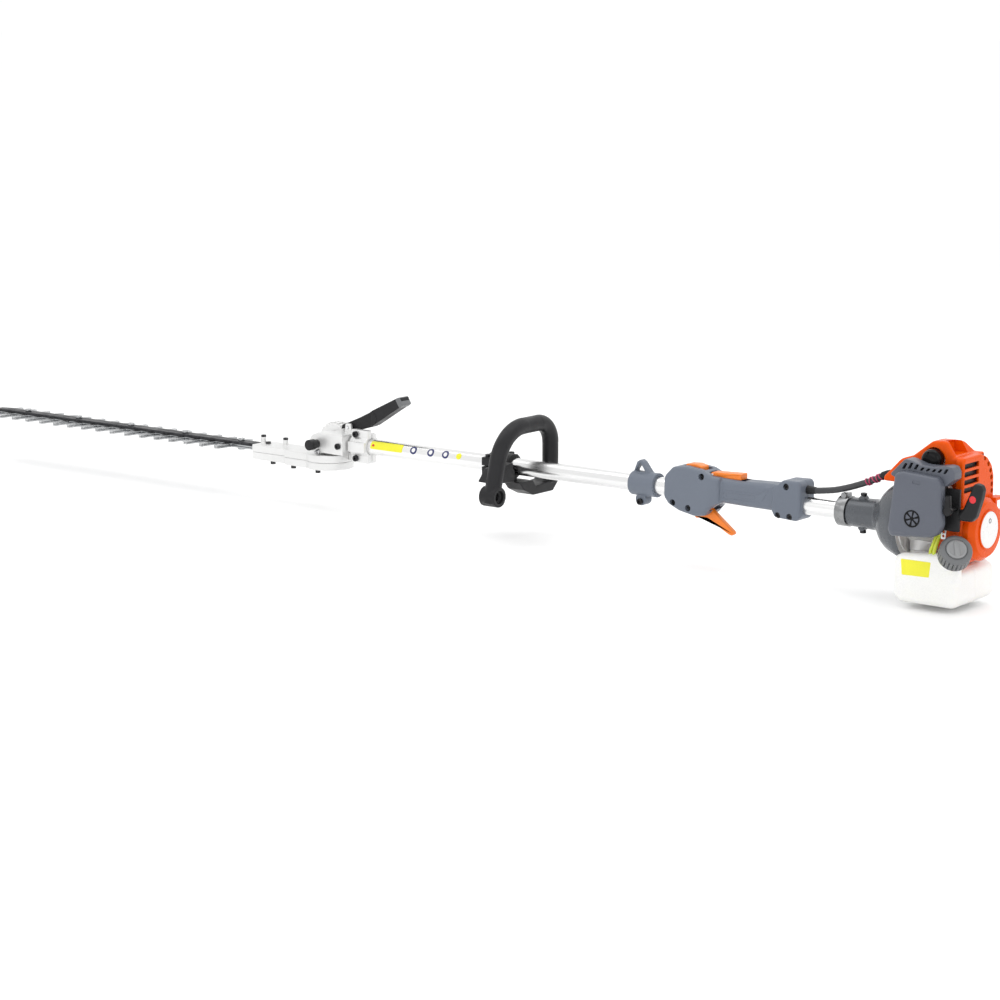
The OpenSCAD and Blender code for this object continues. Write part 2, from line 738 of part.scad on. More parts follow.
flywheel_r = 30.5;
module flywheel() {
    color("silver") on_axis() difference() {
        union() {
            rod_x(19, 28, flywheel_r);
            rod_x(19, 40, 12);
            for (i = [0:15]) rotate([i * 22.5, 0, 0]) block([27, 40], [-1.2, 1.2], [16, flywheel_r]);
        }
        rod_x(18, 41, 6);
    }
}

plug_x = 6;
plug_z = 91;
module spark_plug() {
    color("white") on_axis() {
        rod_y(-34, -18, 5, plug_x, plug_z);
        rod_y(-26, -22, 8, plug_x, plug_z);
        rod_y(-46, -33, 3, plug_x, plug_z);
    }
}
module plug_boot() {
    color("black") on_axis() difference() {
        union() {
            rod_y(-49.5, -33, 15, plug_x, plug_z);
            rod_z(68, plug_z, 5, plug_x, -44);
        }
        rod_y(-46.5, -31, 5, plug_x, plug_z);
    }
}

module muffler() {
    color("dimgray") on_axis() difference() {
        union() {
            block([-38.5, 16], [38, 72], [30, 88]);
            block([cyl_x - 13, cyl_x + 13], [34, 38.5], [44, 66]);
        }
        block([-36.5, 14], [40, 70], [32, 86]);
        rod_y(33, 41, 7, cyl_x, 55);
        rod_x(-42, -34, 5, 60, 76);
    }
}

module carburettor() {
    color("silver") on_axis() difference() {
        union() {
            block([cyl_x - 14, cyl_x + 14], [-54, -34], [40, 66]);
            block([cyl_x + 13, 36], [-52, -38], [44, 60]);
            rod_z(30, 41, 9, cyl_x, -44);
        }
        rod_y(-55, -33, 6, cyl_x, 53);
    }
}
choke_x = 42;
choke_z = 34;
module choke_lever() {
    color("black") on_axis() {
        rod_y(-80, -56, 3.9, choke_x + 9, choke_z);
        slab_y(-80, -74) {
            translate([choke_x + 9, choke_z]) circle(r = 6);
            polygon([[choke_x + 5, choke_z], [choke_x + 6, choke_z + 20], [choke_x + 12, choke_z + 20],
                [choke_x + 13, choke_z]]);
        }
    }
}

module cover_profile() {
    polygon([[-32, 2], [-28, -7], [30, -3], [40, 4], [44, 14], [41.5, 64], [37, 75.5], [-14, 79.5],
        [-23, 76]]);
}
module base_profile() {
    polygon([[-27, 0], [-24, -4], [29, 0], [37, 5], [40, 14], [38.5, 62], [34, 70], [-12, 76], [-18, 71]]);
}
module air_filter() { color("peru") on_axis() block([-16, 28], [-76, -58.4], [6, 62]); }
module filter_base() {
    color("slategray") on_axis() difference() {
        union() {
            slab_y(-71, -54) base_profile();
            block([choke_x - 8, choke_x + 16], [-58, -54], [0, 60]);
            slab_y(-70.5, -54) polygon([[-20, 70], [-16, 80], [-12, 82], [38, 76], [38, 64]]);
            slab_y(-71, -50) polygon([[-38, 73], [-17, 94], [-10, 93.5], [8, 88], [24, 88], [44, 90.5],
                [51, 89], [54, 83], [54, 74], [43, 65.5], [38, 71], [-14, 77], [-24, 72]]);
        }
        slab_y(-73, -58) polygon([[-23, 3], [-21, -0.5], [28, 3], [34, 7], [37, 15], [35.5, 59], [31, 66],
            [-12, 73], [-15, 70]]);
        rod_y(-60, -50, 6, cyl_x, 53);
        rod_y(-60, -50, 4, choke_x + 9, choke_z);
        cap_room();
        for (i = [0:6]) translate([-18 + i * 9.6, 0, 0]) block([0, 4.6], [-67, -56], [78, 95]);
    }
}
module filter_cover() {
    color("slategray") on_axis() difference() {
        union() {
            slab_y(-86, -71.3) cover_profile();
            rod_y(-87, -85, 12.5, 4, 20);
        }
        slab_y(-83, -71) polygon([[-28, 2], [-25, -3.5], [29, 0.5], [37, 6], [40, 14], [37.5, 62], [34, 70],
            [-13, 75.5], [-19, 72]]);
    }
}

module hood_profile() {
    polygon([[-40, 30], [-40, 54.4], [-70, 54.4], [-69, 61], [-60, 70], [-44, 87], [-27, 92.5], [2, 115],
        [18, 116.5], [23, 115], [34, 98], [34, 30]]);
}
module fan_profile() {
    polygon([[-43, 98], [8, 98], [25, 91.5], [37, 80], [43, 66], [44, 45], [43, -34], [34, -44],
        [-34, -44], [-43, -36]]);
}
module under_roof(drop) {
    slab_x(-76, 46) polygon([[-60, -60], [-60, 120 - drop], [-36, 117.5 - drop], [10, 112.5 - drop],
        [35, 86 - drop], [60, 60 - drop], [60, -60]]);
}
vents = [[15.4, 91.3], [25.3, 82.4], [31.6, 73], [34.6, 63.4], [36.4, 54], [37, 45]];
module engine_shroud() {
    color("darkorange") on_axis() difference() {
        union() {
            intersection() {
                slab_y(-34, 34) hood_profile();
                under_roof(0);
            }
            block([14, 44], [-34, 34], [-44, 97]);
            slab_x(42, shroud_rear) fan_profile();
        }
        intersection() {
            slab_y(-31.5, 31.5) polygon([[-41, 20], [-41, 56.8], [-66.5, 56.8], [-58, 67.5], [-43, 84.5],
                [-26, 90], [3, 112], [11, 113], [11, 20]]);
            under_roof(3.4);
        }
        block([0, 44], [-31.5, 31.5], [-41.5, 94.5]);
        slab_x(40, shroud_rear - 2.5) polygon([[-31.5, 95.5], [7.5, 95.5], [23.4, 89.4], [34.8, 78.8],
            [40.5, 65.5], [41.5, 45], [40.5, -33], [33, -41.5], [-33, -41.5], [-40.5, -34.5], [-40.5, 88]]);
        slab_y(-27, 5) polygon([[24.6, 116], [36, 98.4], [15, 98.4], [13, 110], [21, 113]]);
        rod_x(-75, -36.5, bell_r + 0.6);
        cap_room();
        rod_x(50, 56, 30);
        rod_y(-36, -30, 16.2, plug_x, plug_z);
        rod_y(-30.1, -21, 8.6, plug_x, plug_z);
        block([cyl_x - 15, cyl_x + 15], [-36, -30], [20, 68]);
        block([-41, cyl_x + 34], [30, 36], [20, 78]);
        rod_x(-75, -64, conduit_d / 2 + 0.3, 0, 60.5);
        for (i = [0:3]) block([50, 56], [-40, -1], [52.5 + i * 9.6, 58.7 + i * 9.6]);
        for (v = vents) rod_x(50, 56, 3.4, v[0], v[1]);
    }
}

rope_x = 61;
rope_z = 26;
module starter_housing() {
    color("darkorange") on_axis() {
        difference() {
            union() {
                spun_x() polygon([[0, shroud_rear], [42, shroud_rear], [42, starter_rear - 8],
                    [36, starter_rear], [0, starter_rear]]);
                block([shroud_rear, 67], [-52, -30], [18, 34]);
                block([shroud_rear, 66], [26, 48], [16, 38]);
            }
            spun_x() polygon([[0, shroud_rear - 1], [39.5, shroud_rear - 1], [39.5, starter_rear - 8],
                [35, starter_rear - 2.5], [0, starter_rear - 2.5]]);
            rod_y(-53, -26, 2, rope_x, rope_z);
            block([57, 67], [27, 49], [20, 34]);
            cap_room();
        }
        rod_x(shroud_rear + 1, starter_rear - 2, 5);
        rod_x(starter_rear - 0.1, starter_rear + 1.2, badge_d / 2);
    }
}
module starter_pulley() {
    color("dimgray") on_axis() difference() {
        spun_x() polygon([[0, 56], [25, 56], [23.5, 57.5], [23.5, 62.5], [25, 64], [0, 64]]);
        rod_x(55, 65, 5 + fit);
    }
}
module starter_handle() {
    color("black") on_axis() {
        slab_y(-68, -53) polygon([[63, 21], [59, 28], [74, 68], [80, 73], [91, 70], [94, 64], [84, 27],
            [79, 21]]);
        rod_y(-54, 34, 1.6, rope_x, rope_z);
    }
}

module tank_profile(grow) {
    polygon([[-37 - grow, -50], [-31, -46 + grow], [46, -49 + grow], [56 + grow, -55], [58 + grow, -92],
        [50, -100 - grow], [-28, -100 - grow], [-38 - grow, -90]]);
}
module tank_front(grow) {
    polygon([[-37 - grow, -46], [-34 - grow, -38], [-26, -34 + grow], [38, -26 + grow], [52 + grow, -30],
        [58 + grow, -44], [58 + grow, -70], [-38 - grow, -70]]);
}
module at_filler() { translate([46, -51, -34.5]) rotate([0, 52, -50]) children(); }
module cap_room() {
    at_filler() {
        cylinder(h = 10, r = 17 + gap);
        translate([0, 0, 8]) cylinder(h = 30, r = cap_d / 2 + 1);
    }
}
module fuel_tank() {
    color("white") on_axis() difference() {
        union() {
            slab_y(-60, 50) tank_profile(0);
            slab_y(-60, -44.5) tank_front(0);
            at_filler() cylinder(h = 20, r = 17);
            block([cyl_x - 18, cyl_x + 18], [-20, 20], [-48, -36]);
        }
        slab_y(-57.5, 47.5) tank_profile(-2.5);
        slab_y(-57.5, -47) tank_front(-2.5);
        at_filler() cylinder(h = 21, r = 14);
    }
}
module fuel_cap() {
    color("gray") on_axis() at_filler() difference() {
        union() {
            translate([0, 0, 8.6]) linear_extrude(22) polygon(gear_points(24, cap_d / 2 - 1.2, cap_d / 2));
            translate([0, 0, 30]) cylinder(h = 3, r = 14);
        }
        translate([0, 0, 8]) cylinder(h = 12.3, r = 17 + fit * 2);
    }
}
module tank_foot() { color("black") on_axis() rod_z(-axis_h, -100, 12); }

upper_blade();
lower_blade();
guide_bar();
blade_bolts();
gear_case_lower();
gear_case_upper();
gear_case_screws();
crank_gear();
output_shaft();
idler_gear();
input_pinion();
tilt_bolt();
joint_housing();
tube_clamp_cap();
head_screws();
adjusting_lever();
lever_pin();
shaft_tube();
drive_shaft();
shaft_bushes();
loop_handle();
loop_clamp_cap();
loop_screws();
harness_ring();
harness_screw();
housing_left();
housing_right();
housing_screws();
throttle_trigger();
trigger_lockout();
control_pins();
stop_switch();
throttle_conduit();
tube_clamp_ring();
clutch_housing();
clutch_screws();
clutch_drum();
clutch_shoes();
crankcase();
crankshaft();
connecting_rod();
piston();
cylinder_barrel();
flywheel();
spark_plug();
plug_boot();
muffler();
carburettor();
choke_lever();
air_filter();
filter_base();
filter_cover();
engine_shroud();
starter_housing();
starter_pulley();
starter_handle();
fuel_tank();
fuel_cap();
tank_foot();
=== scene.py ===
# Long-reach petrol hedge trimmer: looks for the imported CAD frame.
import math
import bpy
import bmesh
from mathutils import Matrix, Vector


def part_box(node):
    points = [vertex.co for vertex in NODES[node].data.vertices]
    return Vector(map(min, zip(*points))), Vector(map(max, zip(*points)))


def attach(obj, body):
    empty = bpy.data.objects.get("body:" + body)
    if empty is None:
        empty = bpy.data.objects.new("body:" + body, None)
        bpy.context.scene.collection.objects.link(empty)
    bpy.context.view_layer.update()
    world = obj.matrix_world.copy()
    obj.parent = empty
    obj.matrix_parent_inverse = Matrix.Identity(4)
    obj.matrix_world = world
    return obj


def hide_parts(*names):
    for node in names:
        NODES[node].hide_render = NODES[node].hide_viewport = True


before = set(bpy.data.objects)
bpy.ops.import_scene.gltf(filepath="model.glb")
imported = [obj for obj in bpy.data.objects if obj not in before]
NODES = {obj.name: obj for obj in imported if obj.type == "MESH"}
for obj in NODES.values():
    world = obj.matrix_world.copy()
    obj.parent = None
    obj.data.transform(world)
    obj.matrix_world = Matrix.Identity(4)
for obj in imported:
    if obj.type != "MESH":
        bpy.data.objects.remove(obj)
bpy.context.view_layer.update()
MM = 0.001
TUBE_LOW, TUBE_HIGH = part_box("shaft_tube")
AXIS = (TUBE_LOW[2] + TUBE_HIGH[2]) / 2 / MM      # height of the pole's centre line, mm
TUBE_R = (TUBE_HIGH[1] - TUBE_LOW[1]) / 2 / MM


def P(x, y, z):
    """A point given in mm from the pole's centre line, in the row frame."""
    return Vector((x * MM, y * MM, (z + AXIS) * MM))


# Camera and lights

CAMERA_AT = (1.618, -3.018, 0.777)
CAMERA_TURN = 38            # degrees round the vertical
CAMERA_DOWN = 10.7          # degrees below level
LENS = 93.6                 # mm, on a sensor 36 mm wide

camera = bpy.data.objects.new("camera", bpy.data.cameras.new("camera"))
bpy.context.collection.objects.link(camera)
camera.location = CAMERA_AT
camera.rotation_euler = (math.radians(90 - CAMERA_DOWN), 0, math.radians(CAMERA_TURN))
camera.data.sensor_width = 36
camera.data.lens = LENS
camera.data.clip_end = 200
bpy.context.scene.camera = camera


def link(name, data):
    ob = bpy.data.objects.new(name, data)
    bpy.context.collection.objects.link(ob)
    return ob


def area_light(name, at, aim, size, power):
    data = bpy.data.lights.new(name, "AREA")
    data.shape = "RECTANGLE"
    data.size, data.size_y = size
    data.energy = power
    ob = link(name, data)
    ob.location = at
    ob.rotation_euler = (Vector(aim) - Vector(at)).to_track_quat("-Z", "Y").to_euler()


MID = (-0.85, 0, 0.12)
area_light("soft_top", (-0.9, 0.1, 2.4), MID, (3.4, 1.0), 15)
area_light("soft_front", (-0.3, -2.6, 1.7), MID, (3.0, 1.4), 9)
area_light("soft_right", (2.2, -0.9, 1.3), (-0.1, 0, 0.1), (1.4, 1.4), 5)
area_light("soft_back", (-0.9, 2.4, 1.6), MID, (3.2, 1.2), 6)

WORLD_STRENGTH = 1.02
world = bpy.data.worlds.new("studio")
bpy.context.scene.world = world
world.use_nodes = True
world.node_tree.nodes["Background"].inputs["Color"].default_value = (1, 1, 1, 1)
world.node_tree.nodes["Background"].inputs["Strength"].default_value = WORLD_STRENGTH
bpy.context.scene.view_settings.view_transform = "Standard"
bpy.context.scene.view_settings.look = "None"


# Materials

def shader(name, **sockets):
    """A new material with its Principled shader's plain sockets set."""
    mat = bpy.data.materials.new(name)
    mat.use_nodes = True
    tree = mat.node_tree
    principled = tree.nodes["Principled BSDF"]
    for key, value in sockets.items():
        socket = principled.inputs[key.replace("_", " ")]
        socket.default_value = (*value, 1) if isinstance(value, tuple) else value
    return mat, tree, principled


def add(tree, kind, **settings):
    node = tree.nodes.new(kind)
    for key, value in settings.items():
        if hasattr(node, key):
            setattr(node, key, value)
        else:
            node.inputs[key].default_value = value
    return node


def coords(tree, scale):
    where = add(tree, "ShaderNodeTexCoord")
    mapping = add(tree, "ShaderNodeMapping")
    mapping.inputs["Scale"].default_value = scale
    tree.links.new(where.outputs["Object"], mapping.inputs["Vector"])
    return mapping.outputs["Vector"]


def noise(tree, scale, detail=3, stretch=(1, 1, 1), rough=0.55):
    node = add(tree, "ShaderNodeTexNoise")
    node.inputs["Scale"].default_value = scale
    node.inputs["Detail"].default_value = detail
    node.inputs["Roughness"].default_value = rough
    tree.links.new(coords(tree, stretch), node.inputs["Vector"])
    return node.outputs["Fac"]


def spread(tree, value, low, high, from_low=0.35, from_high=0.65):
    node = add(tree, "ShaderNodeMapRange")
    node.inputs["From Min"].default_value = from_low
    node.inputs["From Max"].default_value = from_high
    node.inputs["To Min"].default_value = low
    node.inputs["To Max"].default_value = high
    tree.links.new(value, node.inputs["Value"])
    return node.outputs["Result"]


def blend(tree, factor, a, b):
    node = add(tree, "ShaderNodeMix", data_type="RGBA", blend_type="MIX")
    for socket, value in ((node.inputs[6], a), (node.inputs[7], b)):
        if isinstance(value, tuple):
            socket.default_value = (*value, 1)
        else:
            tree.links.new(value, socket)
    tree.links.new(factor, node.inputs[0])
    return node.outputs[2]


def bump(tree, principled, height, strength, distance):
    node = add(tree, "ShaderNodeBump")
    node.inputs["Strength"].default_value = strength
    node.inputs["Distance"].default_value = distance
    tree.links.new(height, node.inputs["Height"])
    tree.links.new(node.outputs["Normal"], principled.inputs["Normal"])


def edges(tree):
    """1 on worn convex edges and 0 elsewhere."""
    geometry = add(tree, "ShaderNodeNewGeometry")
    return spread(tree, geometry.outputs["Pointiness"], 0, 1, 0.52, 0.62)


def finish_of(name, colour, other, roughness, grain, strength, depth, stretch=(1, 1, 1),
              cloud=9, wear=None, wear_share=0.5, scuffs=0.0, **sockets):
    """A finish: two close colours in clouds, uneven roughness, a fine grain, worn edges and scuffs."""
    mat, tree, principled = shader(name, **sockets)
    clouds = noise(tree, cloud, 5)
    tone = blend(tree, spread(tree, clouds, 0, 1), colour, other)
    fine = noise(tree, grain, 4, stretch, 0.6)
    tone = blend(tree, spread(tree, fine, 0.0, 0.35, 0.4, 0.75), tone, tuple(c * 0.72 for c in colour))
    rough = spread(tree, noise(tree, cloud * 7, 4, stretch), roughness[0], roughness[1])
    if wear:
        worn = add(tree, "ShaderNodeMath", operation="MULTIPLY")
        tree.links.new(edges(tree), worn.inputs[0])
        tree.links.new(spread(tree, noise(tree, 220, 4), 0, wear_share, 0.42, 0.6), worn.inputs[1])
        tone = blend(tree, worn.outputs[0], tone, wear)
    if scuffs:
        marks = spread(tree, noise(tree, 60, 6, (1, 9, 9), 0.7), 0, scuffs, 0.6, 0.72)
        tone = blend(tree, marks, tone, tuple(min(1, c * 1.5 + 0.03) for c in colour))
    tree.links.new(tone, principled.inputs["Base Color"])
    tree.links.new(rough, principled.inputs["Roughness"])
    bump(tree, principled, fine, strength, depth)
    return mat


ALONG = (0.02, 1, 1)
# Each finish: two colours, the roughness range, the grain, its bump strength and distance, and its stretch,
# then the options
FINISHES = {
    "blade_steel": (((0.44, 0.45, 0.46), (0.34, 0.35, 0.36), (0.16, 0.34), 1400, 0.25, 0.0001, (0.06, 1, 1)),
                    dict(wear=(0.9, 0.9, 0.9), Metallic=1.0)),
    "bar_steel": (((0.022, 0.023, 0.026), (0.034, 0.034, 0.037), (0.3, 0.48), 1200, 0.3, 0.00015),
                  dict(wear=(0.16, 0.16, 0.17), scuffs=0.3, Specular_IOR_Level=0.12)),
    "cast_alloy": (((0.82, 0.82, 0.815), (0.74, 0.74, 0.735), (0.3, 0.46), 900, 0.32, 0.0003),
                   dict(wear=(0.93, 0.93, 0.93), Metallic=0.55)),
    "black_fastener": (((0.014, 0.014, 0.016), (0.024, 0.024, 0.026), (0.28, 0.42), 1500, 0.2, 0.0001),
                       dict(wear=(0.2, 0.2, 0.2), Metallic=0.6)),
    "gear_steel": (((0.42, 0.42, 0.43), (0.3, 0.3, 0.31), (0.28, 0.42), 1500, 0.25, 0.0001),
                   dict(Metallic=1.0)),
    "black_plastic": (((0.012, 0.012, 0.013), (0.017, 0.017, 0.019), (0.34, 0.5), 1900, 0.35, 0.0002),
                      dict(wear=(0.05, 0.05, 0.055), scuffs=0.06, Specular_IOR_Level=0.24)),
    "bright_steel": (((0.78, 0.78, 0.79), (0.68, 0.68, 0.69), (0.14, 0.26), 1200, 0.15, 0.0001),
                     dict(Metallic=1.0)),
    "tube_alloy": (((0.88, 0.88, 0.875), (0.81, 0.81, 0.81), (0.17, 0.31), 1500, 0.22, 0.0001, ALONG),
                   dict(cloud=5, scuffs=0.14, Metallic=1.0)),
    "bush_rubber": (((0.02, 0.02, 0.02), (0.03, 0.03, 0.03), (0.6, 0.8), 900, 0.3, 0.0002), dict()),
    "grey_plastic": (((0.150, 0.172, 0.212), (0.136, 0.156, 0.194), (0.36, 0.5), 1700, 0.34, 0.0002),
                     dict(wear=(0.2, 0.22, 0.25), wear_share=0.35, scuffs=0.08, Specular_IOR_Level=0.35)),
    "orange_plastic": (((0.80, 0.092, 0.001), (0.74, 0.080, 0.001), (0.24, 0.36), 1500, 0.16, 0.0002),
                       dict(wear=(0.92, 0.2, 0.03), wear_share=0.3, Specular_IOR_Level=0.14)),
    "conduit_plastic": (((0.046, 0.047, 0.051), (0.036, 0.037, 0.041), (0.4, 0.55), 1500, 0.3, 0.0002,
                         (0.3, 1, 1)),
                        dict(scuffs=0.15)),
    "grey_enamel": (((0.098, 0.106, 0.118), (0.085, 0.092, 0.103), (0.2, 0.32), 700, 0.22, 0.0004),
                    dict(wear=(0.3, 0.3, 0.31), wear_share=0.3, Metallic=0.25)),
    "clamp_steel": (((0.30, 0.305, 0.31), (0.23, 0.235, 0.24), (0.2, 0.34), 1200, 0.2, 0.0001),
                    dict(wear=(0.6, 0.6, 0.6), Metallic=1.0)),
    "ceramic": (((0.8, 0.79, 0.76), (0.74, 0.73, 0.7), (0.12, 0.2), 700, 0.1, 0.0001), dict()),
    "boot_rubber": (((0.003, 0.003, 0.004), (0.005, 0.005, 0.006), (0.08, 0.16), 900, 0.12, 0.0002),
                    dict(Specular_IOR_Level=0.16)),
    "dark_metal": (((0.06, 0.058, 0.055), (0.1, 0.09, 0.08), (0.42, 0.62), 800, 0.35, 0.0003),
                   dict(wear=(0.3, 0.28, 0.25), Metallic=0.8)),
    "filter_foam": (((0.05, 0.045, 0.04), (0.09, 0.08, 0.06), (0.8, 0.95), 420, 1.0, 0.0010), dict()),
    "tank_plastic": (((0.90, 0.90, 0.88), (0.86, 0.86, 0.84), (0.32, 0.44), 900, 0.2, 0.0002),
                     dict(wear=(0.93, 0.93, 0.91), Subsurface_Weight=0.25)),
    "cap_plastic": (((0.155, 0.160, 0.165), (0.135, 0.140, 0.146), (0.36, 0.5), 1500, 0.32, 0.0002),
                    dict(wear=(0.3, 0.31, 0.32), wear_share=0.5)),
    "trigger_plastic": (((0.90, 0.225, 0.014), (0.85, 0.195, 0.012), (0.28, 0.42), 1700, 0.22, 0.0002),
                        dict(wear=(0.95, 0.36, 0.09), wear_share=0.3)),
    "cover_plastic": (((0.105, 0.115, 0.143), (0.094, 0.103, 0.129), (0.34, 0.46), 1700, 0.3, 0.0002),
                      dict(wear=(0.18, 0.19, 0.2), wear_share=0.35, scuffs=0.06, Specular_IOR_Level=0.4)),
    "cap_face": (((0.30, 0.305, 0.31), (0.24, 0.245, 0.25), (0.34, 0.46), 1200, 0.3, 0.0002), dict()),
    "white_paint": (((0.86, 0.86, 0.85), (0.82, 0.82, 0.81), (0.25, 0.36), 900, 0.08, 0.0001), dict()),
    "label_yellow": (((0.86, 0.82, 0.03), (0.80, 0.77, 0.03), (0.3, 0.42), 900, 0.1, 0.0001), dict()),
    "label_blue": (((0.020, 0.028, 0.12), (0.03, 0.038, 0.14), (0.26, 0.38), 900, 0.1, 0.0001), dict()),
    "red_plastic": (((0.70, 0.02, 0.03), (0.62, 0.018, 0.028), (0.25, 0.35), 1200, 0.12, 0.0001), dict()),
    "tie_pink": (((0.58, 0.06, 0.16), (0.45, 0.045, 0.12), (0.3, 0.45), 900, 0.25, 0.0002), dict()),
    "hose_green": (((0.62, 0.68, 0.05), (0.52, 0.58, 0.05), (0.16, 0.28), 700, 0.14, 0.0002),
                   dict(Subsurface_Weight=0.15)),
    "rope": (((0.75, 0.73, 0.68), (0.6, 0.58, 0.52), (0.7, 0.85), 900, 0.8, 0.0004, (1, 0.4, 1)), dict()),
    "silver_screw": (((0.6, 0.6, 0.61), (0.5, 0.5, 0.51), (0.25, 0.4), 1500, 0.2, 0.0001),
                     dict(Metallic=1.0)),
}
M = {name: finish_of(name, *plain, **more) for name, (plain, more) in FINISHES.items()}
TANK_SHADER = M["tank_plastic"].node_tree.nodes["Principled BSDF"]
TANK_SHADER.inputs["Subsurface Radius"].default_value = (0.004, 0.004, 0.003)


# Shapes

def outline(points, radius=3.0, steps=6):
    """The closed outline with its corners rounded; a third number is that corner's own radius."""
    out, n = [], len(points)
    for i, point in enumerate(points):
        a, c, b = (Vector(points[k % n][:2]) for k in (i - 1, i, i + 1))
        r = point[2] if len(point) > 2 else radius
        u, v = (a - c), (b - c)
        half = u.angle(v) / 2 if u.length and v.length else math.pi / 2
        cut = min(r / max(math.tan(half), 0.05), 0.49 * u.length, 0.49 * v.length)
        u, v = c + u.normalized() * cut, c + v.normalized() * cut
        count = max(1, round(steps * min(1, 2 * (math.pi / 2 - half))) + 1)
        for k in range(count + 1):
            s = k / count
            out.append((1 - s) ** 2 * u + 2 * s * (1 - s) * c + s * s * v)
    clean = [p for i, p in enumerate(out) if (p - out[i - 1]).length > 1e-4]
    area = sum(p.x * q.y - q.x * p.y for p, q in zip(clean, clean[1:] + clean[:1]))
    return clean if area > 0 else clean[::-1]


def inset(loop, d):
    if d == 0:
        return [p.copy() for p in loop]
    out, n = [], len(loop)
    for i, p in enumerate(loop):
        e, f = (p - loop[i - 1]).normalized(), (loop[(i + 1) % n] - p).normalized()
        normal = Vector((-(e.y + f.y), e.x + f.x))
        if normal.length < 1e-6:
            out.append(p.copy())
            continue
        normal.normalize()
        lean = max(0.5, normal.dot(Vector((-e.y, e.x))))
        out.append(p + normal * d / lean)
    return out


def dense(loop, step):
    out, n = [], len(loop)
    for i, p in enumerate(loop):
        q = loop[(i + 1) % n]
        count = max(1, int((q - p).length / step))
        out += [p.lerp(q, k / count) for k in range(count)]
    return out


PLANES = {
    "x": lambda u, v, w: (w, u, v),
    "y": lambda u, v, w: (u, w, v),
    "z": lambda u, v, w: (u, v, w),
}


def raw(name, verts, faces):
    mesh = bpy.data.meshes.new(name)
    mesh.from_pydata(verts, [], faces)
    work = bmesh.new()
    work.from_mesh(mesh)
    bmesh.ops.recalc_face_normals(work, faces=work.faces)
    work.to_mesh(mesh)
    work.free()
    return link(name, mesh)


def skin(name, rings, ends=True):
    """A closed skin through rings of points; an end ring of one point closes it."""
    verts, faces, starts = [], [], []
    for ring in rings:
        starts.append(len(verts))
        verts += ring
    for (s, a), (t, b) in zip(zip(starts, rings), list(zip(starts, rings))[1:]):
        n = max(len(a), len(b))
        for k in range(n):
            j = (k + 1) % n
            if len(a) == 1:
                faces.append((s, t + j, t + k))
            elif len(b) == 1:
                faces.append((s + k, s + j, t))
            else:
                faces.append((s + k, s + j, t + j, t + k))
    if ends:
        for s, ring in ((starts[0], rings[0]), (starts[-1], rings[-1])):
            if len(ring) > 2:
                faces.append(tuple(range(s, s + len(ring))))
    return raw(name, verts, faces)


def plate(name, loop, axis, a, b, edge_a=0.0, edge_b=0.0, crown=0.0, steps=5):
    """The outline drawn out from a to b, with rounded edges; its face at a may be crowned."""
    place = PLANES[axis]
    rings = []

    def ring(points, w):
        rings.append([P(*place(p.x, p.y, w)) for p in points])

    def corner(w, edge, sign):
        out = []
        for k in range(steps + 1):
            t = math.pi / 2 * k / steps
            out.append((inset(loop, edge * (1 - math.sin(t))), w - sign * edge * (1 - math.cos(t))))
        return out

    if crown:
        rim = inset(loop, edge_a)
        mid = sum(rim, Vector((0, 0))) / len(rim)
        ring([mid], a - crown)
        for k in range(6, 0, -1):
            s = 1 - k / 7
            ring([mid + (p - mid) * s for p in rim], a - crown * (1 - s * s))
    for points, w in (corner(a, edge_a, -1) if edge_a else [(loop, a)]):
        ring(points, w)
    for points, w in (reversed(corner(b, edge_b, 1)) if edge_b else [(loop, b)]):
        ring(points, w)
    return skin(name, rings)


def turned(name, profile, axis="x", at=(0, 0), sides=64, waves=None):
    """A profile of (distance along the axis, radius) turned round it. waves(angle, s) scales a radius."""
    place = PLANES[axis]
    rings = []
    for w, r in profile:
        if r == 0:
            rings.append([P(*place(at[0], at[1], w))])
            continue
        ring = []
        for k in range(sides):
            angle = 2 * math.pi * k / sides
            grow = waves(angle, w) if waves else 1
            ring.append(P(*place(at[0] + r * grow * math.cos(angle), at[1] + r * grow * math.sin(angle), w)))
        rings.append(ring)
    return skin(name, rings)


def eased(profile, radius=1.0, steps=4):
    """An open profile with its inner corners rounded."""
    out = [Vector(profile[0])]
    for a, c, b in zip(profile, profile[1:], profile[2:]):
        a, c, b = Vector(a), Vector(c), Vector(b)
        u, v = a - c, b - c
        r = min(radius, 0.49 * u.length, 0.49 * v.length)
        u, v = c + u.normalized() * r, c + v.normalized() * r
        for k in range(steps + 1):
            s = k / steps
            out.append((1 - s) ** 2 * u + 2 * s * (1 - s) * c + s * s * v)
    out.append(Vector(profile[-1]))
    return [(p.x, p.y) for p in out]


def smooth_path(points, per=8):
    """A smooth line through the points."""
    pts = [Vector(p) for p in points]
    pts = [2 * pts[0] - pts[1]] + pts + [2 * pts[-1] - pts[-2]]
    out = []
    for a, b, c, d in zip(pts, pts[1:], pts[2:], pts[3:]):
        for k in range(per):
            t = k / per
            out.append(0.5 * (2 * b + (c - a) * t + (2 * a - 5 * b + 4 * c - d) * t * t
                              + (3 * b - a - 3 * c + d) * t ** 3))
    out.append(pts[-2])
    return out


